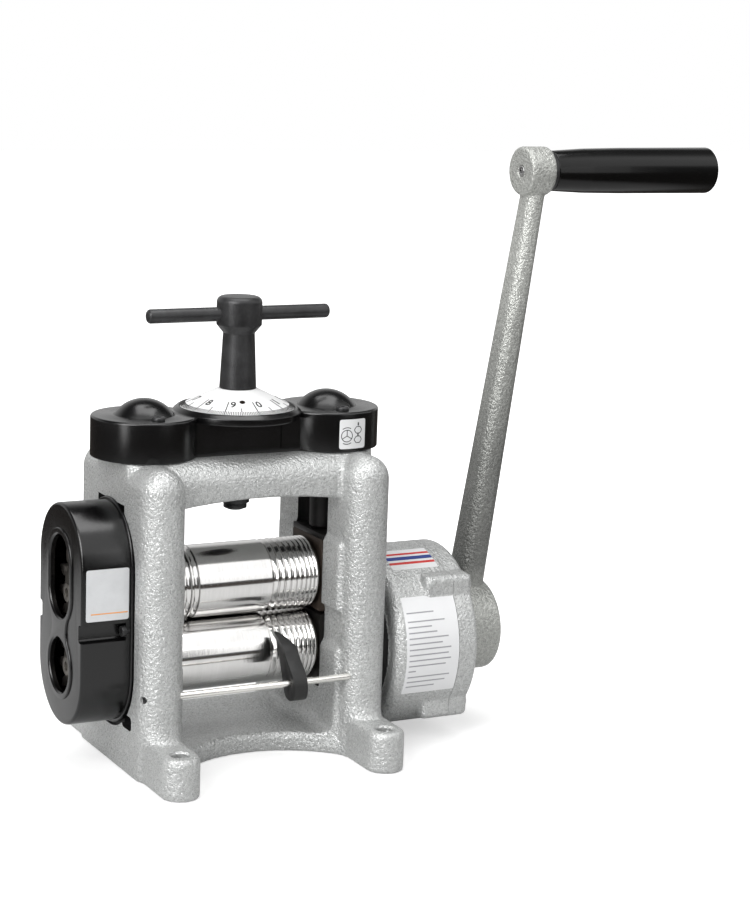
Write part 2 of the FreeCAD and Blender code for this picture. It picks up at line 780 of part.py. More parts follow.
def gear_guard():
    face_x = -guard_face_x
    flange_x = -recess_x
    body = stadium_side(guard_r, guard_low_z, guard_high_z, face_x, flange_x)
    rim = edges_where(body, lambda e: e.BoundBox.XMax < face_x + 0.1)
    body = body.makeFillet(2.0, rim)
    flange = stadium_side(guard_flange_r, guard_low_z, guard_high_z, flange_x - guard_flange_t, flange_x)
    bead_r = eye_r + 4.7
    bead = fuse(stadium_side(bead_r, eye_high_z, eye_high_z + eye_slot, face_x - 1.0, face_x + 1),
                rod_x(bead_r, face_x - 1.0, face_x + 1, V(0, 0, eye_low_z)),
                box(face_x - 1.0, face_x + 1, -13, 13, eye_low_z + 15, eye_high_z - 15))
    body = fuse(body, flange, bead)
    room = stadium_side(guard_r - guard_wall, guard_low_z, guard_high_z, face_x + guard_wall, flange_x + 1)
    keep = []
    wells = []
    for side in (-1, 1):
        wall_y = side * (guard_r - well_deep)
        inner_y = side * (guard_r - well_deep - guard_wall)
        outer_y = side * (guard_r + 2)
        keep.append(box(face_x, flange_x, min(inner_y, outer_y), max(inner_y, outer_y),
                        well_z - well_half - guard_wall, well_z + well_half + guard_wall))
        end_x = flange_x - guard_flange_t - 3.0
        well = box(face_x - 2, end_x, min(wall_y, outer_y), max(wall_y, outer_y),
                   well_z - well_half, well_z + well_half)
        wells.append(well)
        wells.append(rod_x(guard_screw_r, face_x, flange_x + 1, guard_screw_at(side)))
    room = room.cut(keep)
    eyes = [stadium_side(eye_r, eye_high_z, eye_high_z + eye_slot, face_x - 3, face_x + 5),
            rod_x(eye_r, face_x - 3, face_x + 5, V(0, 0, eye_low_z))]
    return body.cut([room] + wells + eyes)


def guard_screw(side):
    centre = guard_screw_at(side)
    seat = -recess_x - guard_flange_t - 3.0
    shank = rod_x(guard_screw_r, seat, -upright_outer + guard_screw_deep - 2, centre)
    head = rod_x(guard_head_r, seat - 3.0, seat, centre)
    tool = hex_socket(V(seat - 3.0, centre.y, centre.z), V(-1, 0, 0), 3.0, 1.8)
    return fuse(shank, head).cut(tool)


# ---- reduction gear ----

def lug_places():
    return [V(0, sy * lug_at, lower_axis_z + sz * lug_at) for sy in (-1, 1) for sz in (-1, 1)]


def lug_block(x0, x1):
    """A square block round the axis, whose soft corners stand out of the drum as the four lugs."""
    block = box(x0, x1, -lug_reach, lug_reach, lower_axis_z - lug_reach, lower_axis_z + lug_reach)
    return block.makeFillet(lug_edge, edges_where(block, lambda e: e.BoundBox.XLength > 5))


def gearbox_housing():
    drum = rod_x(drum_r, drum_x, drum_split_x, lower_axis)
    drum = drum.makeFillet(drum_edge, edges_where(drum, lambda e: e.BoundBox.XMax < drum_x + 0.1))
    neck = rod_x(neck_r, upright_outer, drum_x + 1, lower_axis)
    start_x = drum_split_x - lug_long
    lugs = lug_block(start_x, drum_split_x)
    lugs = lugs.makeFillet(4.0, edges_where(lugs, lambda e: e.BoundBox.XMax < start_x + 0.1))
    body = fuse(drum, neck, lugs)
    floor_x = drum_x + drum_floor
    cuts = [rod_x(drum_bore_r, floor_x, drum_split_x + 1, lower_axis),
            rod_x(journal_r + 9, upright_outer - 1, floor_x + 1, lower_axis)]
    cuts += [rod_x(lug_screw_r, drum_split_x - lug_long + 4, drum_split_x + 1, c) for c in lug_places()]
    cuts += [rod_x(lug_screw_r, upright_outer - 1, floor_x + 1, c) for c in mount_screw_places()]
    return body.cut(cuts)


def gearbox_cap():
    plate = rod_x(drum_r, drum_split_x, drum_end_x, lower_axis)
    plate = plate.makeFillet(cap_edge, edges_where(plate, lambda e: e.BoundBox.XMin > drum_end_x - 0.1))
    lugs = lug_block(drum_split_x, drum_end_x)
    lugs = lugs.makeFillet(cap_edge, edges_where(lugs, lambda e: e.BoundBox.XMin > drum_end_x - 0.1))
    body = fuse(plate, lugs)
    cuts = [rod_x(carrier_r - 5, drum_split_x - 1, drum_split_x + 3, lower_axis),
            rod_x(bearing_r, drum_split_x - 1, drum_end_x + 1, lower_axis)]
    for centre in lug_places():
        cuts.append(rod_x(lug_screw_r, drum_split_x - 1, drum_end_x + 1, centre))
        cuts.append(rod_x(lug_screw_r + 2.4, drum_end_x - 3, drum_end_x + 1, centre))
    return body.cut(cuts)


def cap_screw(centre):
    shank = rod_x(lug_screw_r, drum_split_x - lug_long + 5, drum_end_x - 3, centre)
    head = rod_x(lug_screw_r + 2, drum_end_x - 3, drum_end_x + 2, centre)
    tool = hex_socket(V(drum_end_x + 2, centre.y, centre.z), V(1, 0, 0), 5.0, 3.0)
    return fuse(shank, head).cut(tool)


def mount_screw(centre):
    floor_x = drum_x + drum_floor
    shank = rod_x(lug_screw_r, upright_outer - mount_deep + 1, floor_x, centre)
    head = rod_x(lug_screw_r + 2, floor_x, floor_x + 0.8, centre)
    return fuse(shank, head)


def planet_angle(k):
    return 2 * math.pi * k / planets + math.pi / 2


def planet_centre(k):
    angle = planet_angle(k)
    return V(0, planet_orbit * math.cos(angle), lower_axis_z + planet_orbit * math.sin(angle))


def planet_start(k):
    """Turns a planet so that a gap faces the sun's tooth on the line between their centres."""
    angle = planet_angle(k)
    sun_phase = (angle - sun_start) * sun_teeth
    return angle + math.pi + (math.pi - sun_phase) / planet_teeth


def ring_start():
    """Turns the ring so that its gap takes the planet's outermost tooth."""
    angle = planet_angle(0)
    planet_phase = (angle - planet_start(0)) * planet_teeth
    return angle - planet_phase / ring_teeth


def small_gear_points(teeth, start):
    pitch = gear_module * teeth / 2
    return gear_face(teeth, gear_module, pitch + 0.95 * gear_module, pitch - 1.2 * gear_module, 2, 0.22,
                     start)


def ring_gear():
    pitch = gear_module * ring_teeth / 2
    tip = pitch - 0.9 * gear_module
    root = pitch + 1.2 * gear_module
    outline = gear_face(ring_teeth, gear_module, root, tip, 1, -0.22, ring_start())
    hole = gear_x(outline, planet_x - 1, planet_t + 2, lower_axis)
    return rod_x(drum_bore_r, planet_x - 0.5, planet_x + planet_t + 0.5, lower_axis).cut(hole)


def sun_shaft():
    gear = gear_x(small_gear_points(sun_teeth, sun_start), planet_x, planet_t, lower_axis)
    shaft = rod_x(sun_shaft_r, planet_x + planet_t, crank_hub_x + crank_hub_long - 1, lower_axis)
    return fuse(gear, shaft)


def planet_gear(k):
    gear = gear_x(small_gear_points(planet_teeth, planet_start(k)), planet_x, planet_t, planet_centre(k))
    return gear.cut(rod_x(pin_r + run_gap, 0, 200, planet_centre(k)))


def carrier_plate_x():
    """Inner faces of the carrier's two plates, on the roll's side and on the crank's side."""
    return planet_x - free_gap, planet_x + planet_t + free_gap


def planet_carrier():
    """Two plates joined by three posts that stand between the planets."""
    near_x, far_x = carrier_plate_x()
    near = rod_x(carrier_r, near_x - carrier_t, near_x, lower_axis)
    near = near.cut(rod_x(journal_r - 3, 0, 200, lower_axis))
    far = tube_x(carrier_r, sun_shaft_r + 3, far_x, far_x + carrier_t, lower_axis)
    posts = []
    for k in range(planets):
        angle = planet_angle(k) + math.pi / planets
        centre = lower_axis + V(0, math.cos(angle), math.sin(angle)) * planet_orbit
        posts.append(rod_x(carrier_post_r, near_x - 1, far_x + 1, centre))
    body = fuse(near, far, *posts)
    return body.cut([rod_x(pin_r, 0, 200, planet_centre(k)) for k in range(planets)])


def planet_pin(k):
    near_x, far_x = carrier_plate_x()
    return rod_x(pin_r, near_x - carrier_t, far_x + carrier_t, planet_centre(k))


# ---- crank ----

def rounded_section(wide, deep, corner, x, y, z):
    """A level rectangle with round corners, as a wire centred on (x, y)."""
    middle = V(x, y, z)
    lean = corner * (1 - math.sqrt(0.5))
    edges = []
    for turn in range(4):
        # one corner arc and the straight side after it, the pair turned round the middle
        a, b = (wide / 2, deep / 2) if turn % 2 == 0 else (deep / 2, wide / 2)
        spots = [V(a, b - corner, 0), V(a - lean, b - lean, 0), V(a - corner, b, 0), V(corner - a, b, 0)]
        placing = FreeCAD.Rotation(V(0, 0, 1), 90 * turn)
        spots = [middle + placing.multVec(spot) for spot in spots]
        edges += [Part.Arc(*spots[:3]).toShape(), Part.makeLine(spots[2], spots[3])]
    return Part.Wire(edges)


def crank_arm():
    hub_end = crank_hub_x + crank_hub_long
    hub = rod_x(crank_hub_r, crank_hub_x, hub_end, lower_axis)
    hub = hub.makeFillet(2.0, edges_where(hub, lambda e: e.BoundBox.XLength < 0.1))
    top_centre = V(0, 0, grip_z)
    boss = rod_x(boss_r, boss_x, boss_x + boss_long, top_centre)
    boss = boss.makeFillet(1.5, edges_where(boss, lambda e: e.BoundBox.XLength < 0.1))
    hub_mid = crank_hub_x + crank_hub_long / 2
    ends = ((hub_mid + arm_base_out, arm_start, arm_base),
            (boss_mid_x + arm_tip_out, crank_len - arm_stop, arm_tip))
    sections = [rounded_section(wide, deep, corner, x, 0, lower_axis_z + rise)
                for x, rise, (wide, deep, corner) in ends]
    arm = Part.makeLoft(sections, True, True)
    body = fuse(hub, arm, boss)
    cuts = [rod_x(sun_shaft_r, crank_hub_x - 1, hub_end + 1, lower_axis),
            rod_x(grip_thread_r, boss_x - 1, boss_x + boss_long + 1, top_centre),
            Part.makeCone(grip_thread_r + 1.2, grip_thread_r, 1.2, V(boss_x, 0, grip_z), V(1, 0, 0))]
    return body.cut(cuts)


def crank_washer():
    end = crank_hub_x + crank_hub_long
    return tube_x(sun_shaft_r + 4, crank_screw_r, end, end + crank_washer_t, lower_axis)


def crank_screw():
    end = crank_hub_x + crank_hub_long
    seat = end + crank_washer_t
    shank = rod_x(crank_screw_r, end - 1, seat, lower_axis)
    head = rod_x(crank_head_r, seat, seat + crank_head_t, lower_axis)
    tool = hex_socket(V(seat + crank_head_t, 0, lower_axis_z), V(1, 0, 0), crank_head_r, 4.0)
    return fuse(shank, head).cut(tool)


def grip():
    floor_x = grip_end_x - grip_well_deep
    bore = grip_pin_r + run_gap
    points = [(grip_x, bore), (grip_x, grip_end_r - 0.7), (grip_x + 0.7, grip_end_r)]
    points += [(grip_x + along, radius) for along, radius in grip_swell]
    points += [(grip_end_x - 6, grip_r), (grip_end_x - 1.8, grip_r - 0.4), (grip_end_x, grip_r - 2.6),
               (grip_end_x, grip_well_r), (floor_x, grip_well_r), (floor_x, bore)]
    return turned_profile_x(points, V(0, 0, grip_z))


def grip_collar():
    return tube_x(collar_r, grip_pin_r, collar_x, collar_x + collar_t - free_gap, V(0, 0, grip_z))


def grip_pin():
    """A shoulder screw: its thread ends in the boss, and its head holds the grip from the far end."""
    centre = V(0, 0, grip_z)
    seat = grip_end_x - grip_well_deep + free_gap
    thread = rod_x(grip_thread_r, boss_x + 0.6, boss_x + boss_long, centre)
    shank = rod_x(grip_pin_r, boss_x + boss_long, seat, centre)
    head = rod_x(grip_head_r, seat, seat + grip_head_t, centre)
    tool = hex_socket(V(boss_x + 0.6, 0, grip_z), V(-1, 0, 0), grip_thread_r, 3.0)
    return fuse(thread, shank, head).cut(tool)


# ---- wire guide ----

def guide_rod():
    return rod_x(rod_r, -upright_outer + 8, upright_mid - 1, V(0, rod_y, rod_z))


def rod_plug():
    centre = V(0, rod_y, rod_z)
    x0 = -upright_outer + 2.5
    plug = rod_x(rod_r + run_gap, x0, -upright_outer + 7.5, centre)
    return plug.cut(hex_socket(V(x0, rod_y, rod_z), V(-1, 0, 0), 2.5, 2.0))


def wire_guide():
    """A finger that turns and slides on the rod: its tip points at the gap between the rolls."""
    def spot(point):
        return V(guide_x, rod_y + point[0], rod_z + point[1])

    curve = Part.BSplineCurve()
    curve.interpolate([spot(point) for point in guide_brow[1:] + guide_curve])
    tip = spot(guide_tip)
    brow = [spot(point) for point in guide_brow]
    outline = [curve.toShape(), Part.makeLine(spot(guide_curve[-1]), tip), Part.makeLine(tip, brow[0]),
               Part.makeLine(*brow)]
    body = Part.Face(Part.Wire(outline)).extrude(V(guide_wide, 0, 0))
    top = tip.z + 5
    slope = [V(guide_x + across, 0, tip.z + up) for across, up in guide_slope]
    far = guide_x + guide_wide + 5
    ends = [V(far, 0, slope[-1].z - 5), V(far, 0, top), V(slope[0].x, 0, top), slope[0]]
    wedge = Part.Face(Part.makePolygon(slope + ends))
    cuts = [wedge.extrude(V(0, -100, 0)), rod_x(rod_r + run_gap, 0, 60, V(0, rod_y, rod_z))]
    return body.cut(cuts)


# ---- assembly ----

def both_sides(name, shape):
    shapes[name + "_right"] = shape
    shapes[name + "_left"] = mirrored(shape)


def build():
    frame_pieces()
    both_sides("lower_chock", lower_chock())
    both_sides("upper_chock", upper_chock())
    both_sides("pressure_pad", box(chock_inner, 84, -chock_half, chock_half, upper_chock_top,
                                   upper_chock_top + pad_t))
    shapes["lift_springs"] = Part.makeCompound([lift_spring(x, y) for x, y in spring_places()])
    thrust = washer_x(washer_r, journal_r + run_gap, roll_end + run_gap, chock_inner, lower_axis)
    shapes["lower_thrust_washers"] = Part.makeCompound([thrust, mirrored(thrust)])
    thrust = washer_x(washer_r, journal_r + run_gap, roll_end + run_gap, chock_inner, upper_axis)
    shapes["upper_thrust_washers"] = Part.makeCompound([thrust, mirrored(thrust)])
    shapes["upper_roll"] = roll(upper_axis, chock_outer - 0.5, True)
    shapes["lower_roll"] = fuse(roll(lower_axis, planet_x - 2 - carrier_t, False),
                                rod_x(journal_r - 3, planet_x - 3 - carrier_t, planet_x - 1.5, lower_axis))
    half_tooth = math.pi / roll_teeth
    shapes["roll_gear_lower"] = roll_gear(lower_axis, math.pi / 2)
    shapes["roll_gear_upper"] = roll_gear(upper_axis, math.pi / 2 + math.pi + half_tooth)
    shapes["gear_cap_lower"] = gear_cap(lower_axis)
    shapes["gear_cap_upper"] = gear_cap(upper_axis)
    shapes["gear_guard"] = gear_guard()
    shapes["guard_screws"] = Part.makeCompound([guard_screw(-1), guard_screw(1)])

    for name, x in (("left", -screw_x), ("right", screw_x)):
        shapes["pressure_screw_" + name] = pressure_screw(x)
        shapes["screw_bush_" + name] = screw_bush(x)
    centre_start = math.pi / centre_teeth
    shapes["centre_gear"] = top_gear(centre_teeth, 0, centre_start, rod_up(spindle_r, 200, 250))
    for name, side in (("left", -1), ("right", 1)):
        towards = 0 if side > 0 else math.pi
        idler_start = towards + math.pi
        screw_start = towards + math.pi + math.pi * (1 + idler_teeth) / screw_teeth
        shapes["idler_gear_" + name] = top_gear(idler_teeth, side * idler_x, idler_start,
                                                rod_up(pin_r + run_gap, 200, 250, side * idler_x))
        shapes["screw_gear_" + name] = screw_gear(side * screw_x, screw_start)
        shapes["idler_pin_" + name] = idler_pin(side * idler_x)
    shapes["spindle_bush"] = spindle_bush()
    shapes["handle_spindle"] = handle_spindle()
    shapes["t_bar"] = t_bar()
    shapes["spindle_collar"] = spindle_collar()
    shapes["spindle_nut"] = spindle_nut()
    shapes["dial"] = dial()
    shapes["top_cover"] = top_cover()
    screws = [cover_screw(x, y) for x in (-screw_x, screw_x) for y in (-cover_screw_y, cover_screw_y)]
    shapes["cover_screws"] = Part.makeCompound(screws)

    shapes["gearbox_housing"] = gearbox_housing()
    shapes["gearbox_cap"] = gearbox_cap()
    shapes["cap_screws"] = Part.makeCompound([cap_screw(c) for c in lug_places()])
    shapes["mount_screws"] = Part.makeCompound([mount_screw(c) for c in mount_screw_places()])
    shapes["ring_gear"] = ring_gear()
    shapes["sun_shaft"] = sun_shaft()
    shapes["planet_carrier"] = planet_carrier()
    shapes["planet_pins"] = Part.makeCompound([planet_pin(k) for k in range(planets)])
    for k in range(planets):
        shapes["planet_gear_%d" % (k + 1)] = planet_gear(k)
    shapes["crank_bush"] = tube_x(bearing_r, sun_shaft_r + run_gap, drum_split_x, drum_end_x + 0.8,
                                  lower_axis)
    shapes["crank_arm"] = crank_arm()
    shapes["crank_washer"] = crank_washer()
    shapes["crank_screw"] = crank_screw()
    shapes["grip"] = grip()
    shapes["grip_collar"] = grip_collar()
    shapes["grip_pin"] = grip_pin()

    shapes["guide_rod"] = guide_rod()
    shapes["rod_plug"] = rod_plug()
    shapes["wire_guide"] = wire_guide()


build()
os.makedirs("parts", exist_ok=True)
for node, shape in shapes.items():
    shape.exportStep("parts/%s.step" % node)
print("%d nodes" % len(shapes))
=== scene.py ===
import json
import math

import bmesh
import bpy
from mathutils import Matrix, Vector


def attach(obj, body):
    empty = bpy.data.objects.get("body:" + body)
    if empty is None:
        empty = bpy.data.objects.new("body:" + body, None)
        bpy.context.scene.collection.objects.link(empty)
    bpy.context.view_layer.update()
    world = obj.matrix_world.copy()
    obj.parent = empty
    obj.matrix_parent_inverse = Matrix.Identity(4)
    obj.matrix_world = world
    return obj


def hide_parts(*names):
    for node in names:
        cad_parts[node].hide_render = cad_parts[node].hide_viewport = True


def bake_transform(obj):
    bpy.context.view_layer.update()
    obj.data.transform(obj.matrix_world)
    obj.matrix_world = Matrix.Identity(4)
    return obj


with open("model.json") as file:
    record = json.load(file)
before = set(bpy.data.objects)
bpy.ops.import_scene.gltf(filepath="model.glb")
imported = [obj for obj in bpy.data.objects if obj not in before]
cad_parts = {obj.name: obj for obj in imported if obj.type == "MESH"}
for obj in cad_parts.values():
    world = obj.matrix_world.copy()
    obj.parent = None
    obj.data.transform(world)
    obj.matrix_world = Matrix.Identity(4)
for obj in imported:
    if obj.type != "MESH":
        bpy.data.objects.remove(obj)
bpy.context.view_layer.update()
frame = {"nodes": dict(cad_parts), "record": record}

mm = 0.001
bodyOf = {node: body for body, nodes in frame["record"]["behaviour"]["bodies"].items() for node in nodes}
slotOf = {part["node"]: part["material_slot"] for part in frame["record"]["subparts"]}


# camera and view

cameraView = {
    "place": (-0.67272, -1.46279, 0.52755),
    "yaw": 28.17,               # degrees to the right of +Y
    "pitch": 10.87,             # degrees down
    "roll": 1.97,
    "sensor": 36.0,
    "focal": 2327.66 / 900,     # times the sensor
    "clip": (0.05, 50),
}


def placeCamera(view):
    yaw, pitch, roll = (math.radians(view[k]) for k in ("yaw", "pitch", "roll"))
    forward = Vector((math.sin(yaw) * math.cos(pitch), math.cos(yaw) * math.cos(pitch), -math.sin(pitch)))
    level = Vector((math.cos(yaw), -math.sin(yaw), 0))
    upright = level.cross(forward)
    right = level * math.cos(roll) + upright * math.sin(roll)
    up = upright * math.cos(roll) - level * math.sin(roll)
    data = bpy.data.cameras.new("camera")
    data.sensor_width = view["sensor"]
    data.lens = view["focal"] * view["sensor"]
    data.clip_start, data.clip_end = view["clip"]
    camera = bpy.data.objects.new("camera", data)
    bpy.context.scene.collection.objects.link(camera)
    turn = Matrix((right, up, -forward)).transposed().to_4x4()
    camera.matrix_world = Matrix.Translation(view["place"]) @ turn
    bpy.context.scene.camera = camera


placeCamera(cameraView)
bpy.context.scene.view_settings.view_transform = "Standard"


# shader maths

class Value:
    # a socket that takes part in sums; each operator adds a Math node
    def __init__(self, socket):
        self.socket = socket

    def maths(self, operation, other, swapped=False):
        tree = self.socket.id_data
        node = tree.nodes.new("ShaderNodeMath")
        node.operation = operation
        for place, item in enumerate((other, self) if swapped else (self, other)):
            if isinstance(item, Value):
                tree.links.new(item.socket, node.inputs[place])
            else:
                node.inputs[place].default_value = item
        return Value(node.outputs[0])

    def __add__(self, other):
        return self.maths("ADD", other)

    def __radd__(self, other):
        return self.maths("ADD", other, True)

    def __sub__(self, other):
        return self.maths("SUBTRACT", other)

    def __rsub__(self, other):
        return self.maths("SUBTRACT", other, True)

    def __mul__(self, other):
        return self.maths("MULTIPLY", other)

    def __rmul__(self, other):
        return self.maths("MULTIPLY", other, True)


class Finish:
    # a material: one Principled shader, with nodes added by node()
    def __init__(self, name, constants):
        self.material = bpy.data.materials.new(name)
        self.material.use_nodes = True
        self.tree = self.material.node_tree
        self.tree.nodes.clear()
        output = self.tree.nodes.new("ShaderNodeOutputMaterial")
        self.shader = self.tree.nodes.new("ShaderNodeBsdfPrincipled")
        self.tree.links.new(self.shader.outputs[0], output.inputs[0])
        for socket, value in constants.items():
            self.shader.inputs[socket].default_value = value

    def node(self, kind, settings, sockets, result=0):
        made = self.tree.nodes.new(kind)
        for key, value in settings.items():
            if key == "stops":
                setStops(made.color_ramp.elements, value)
            else:
                setattr(made, key, value)
        for key, value in sockets.items():
            if isinstance(value, Value):
                self.tree.links.new(value.socket, made.inputs[key])
            else:
                made.inputs[key].default_value = value
        return Value(made.outputs[result])

    def feed(self, socket, value):
        self.tree.links.new(value.socket, self.shader.inputs[socket])

    def place(self):
        return self.node("ShaderNodeTexCoord", {}, {}, "Object")

    def noise(self, scale, detail=2.0, rough=0.5, where=None):
        return self.node("ShaderNodeTexNoise", {}, {
            "Vector": where or self.place(), "Scale": scale, "Detail": detail, "Roughness": rough})

    def bump(self, height, strength, distance):
        self.feed("Normal", self.node("ShaderNodeBump", {}, {
            "Height": height, "Strength": strength, "Distance": distance}))

    def shades(self, factor, stops, tint=(1, 1, 1)):
        # stops are (place on the ramp, level of grey)
        colours = [(place, grey(level, tint)) for place, level in stops]
        return self.node("ShaderNodeValToRGB", {"stops": colours}, {"Fac": factor})


def setStops(elements, stops):
    while len(elements) < len(stops):
        elements.new(0.5)
    for element, (position, colour) in zip(elements, stops):
        element.position = position
        element.color = colour


def grey(level, tint=(1, 1, 1)):
    return (level * tint[0], level * tint[1], level * tint[2], 1.0)


# how often each pattern comes in a metre, and how deep its bump goes
patternScale = {"paintDrift": 11.0, "satinDrift": 22.0, "alongRings": 12.0, "ringStain": 30.0,
                "metalStain": 55.0, "metalGrain": 900.0, "plasticDrift": 18.0}
bumpDepth = {"satin": 0.0003, "fine": 0.0002}


def castPaint(name, settings):
    # hammered paint: a pebbled film with flakes; fade lists (height, share of the tone), a painted shade that
    # darkens the colour by height
    finish = Finish(name, {"Metallic": settings["metallic"], "IOR": 1.5})
    pebbles = finish.noise(settings["pebble"], 2.0, 0.55)
    flakes = finish.noise(settings["pebble"] * 3.0, 1.0, 0.5)
    drift = finish.noise(patternScale["paintDrift"], 2.0)
    tone = pebbles * 0.5 + flakes * 0.25 + drift * 0.25
    colour = finish.shades(tone, ((0.38, settings["dark"]), (0.60, settings["light"])), settings["tint"])
    # painted shade: where fade is given, the colour is multiplied darker in bands of height
    if "fade" in settings:
        height = finish.node("ShaderNodeSeparateXYZ", {}, {0: finish.place()}, "Z")
        scale = 2.0     # brings half a metre to the ramp's end
        shade = finish.shades(height * scale, [(scale * z, share) for z, share in settings["fade"]])
        colour = finish.node("ShaderNodeMix", {"data_type": "RGBA", "blend_type": "MULTIPLY"},
                             {0: 1.0, 6: colour, 7: shade}, 2)
    finish.feed("Base Color", colour)
    finish.feed("Roughness", settings["rough"] + flakes * 0.2)
    finish.bump(pebbles * 0.8 + flakes * 0.2, settings["relief"], settings["deep"])
    return finish.material


def satinPaint(name, settings):
    finish = Finish(name, {"Metallic": 0.0, "IOR": 1.5, "Specular IOR Level": settings["gloss"]})
    grain = finish.noise(settings["grain"], 2.0, 0.6)
    drift = finish.noise(patternScale["satinDrift"], 3.0)
    tone = settings["tone"]
    finish.feed("Base Color", finish.shades(drift, ((0.3, tone * 0.8), (0.7, tone)), settings["tint"]))
    finish.feed("Roughness", settings["rough"] + (drift - 0.5) * 0.18)
    finish.bump(grain, settings["relief"], bumpDepth["satin"])
    return finish.material


def turnedSteel(name, settings):
    # fine rings left by the lathe and grinder, running round the X axis
    finish = Finish(name, {"Metallic": 1.0})
    along = patternScale["alongRings"]
    where = finish.node("ShaderNodeMapping", {}, {"Vector": finish.place(),
                                                  "Scale": (settings["rings"], along, along)})
    rings = finish.noise(1.0, 3.0, 0.65, where)
    stain = finish.noise(patternScale["ringStain"], 4.0, 0.6)
    stops = ((0.3, settings["dark"]), (0.65, settings["light"]))
    finish.feed("Base Color", finish.shades(rings * 0.5 + stain * 0.5, stops, settings["tint"]))
    finish.feed("Roughness", settings["rough"] + rings * settings["roughSpread"])
    finish.bump(rings, settings["relief"], bumpDepth["fine"])
    return finish.material


def plainMetal(name, settings):
    finish = Finish(name, {"Metallic": settings["metallic"],
                           "Specular IOR Level": settings.get("gloss", 0.5)})
    stain = finish.noise(patternScale["metalStain"], 4.0, 0.6)
    grain = finish.noise(patternScale["metalGrain"], 2.0, 0.6)
    stops = ((0.3, settings["dark"]), (0.7, settings["light"]))
    finish.feed("Base Color", finish.shades(stain, stops, settings["tint"]))
    finish.feed("Roughness", settings["rough"] + stain * 0.2)
    finish.bump(grain, settings["relief"], bumpDepth["fine"])
    return finish.material


def mouldedPlastic(name, settings):
    finish = Finish(name, {"Metallic": 0.0, "IOR": 1.5, "Specular IOR Level": settings.get("gloss", 0.5)})
    grain = finish.noise(settings["grain"], 2.0, 0.6)
    drift = finish.noise(patternScale["plasticDrift"], 3.0)
    tone = settings["tone"]
    stops = ((0.3, tone * 0.88), (0.7, tone))
    finish.feed("Base Color", finish.shades(drift, stops, settings.get("tint", (1, 1, 1))))
    finish.feed("Roughness", settings["rough"] + drift * 0.1)
    finish.bump(grain, settings["relief"], bumpDepth["fine"])
    return finish.material


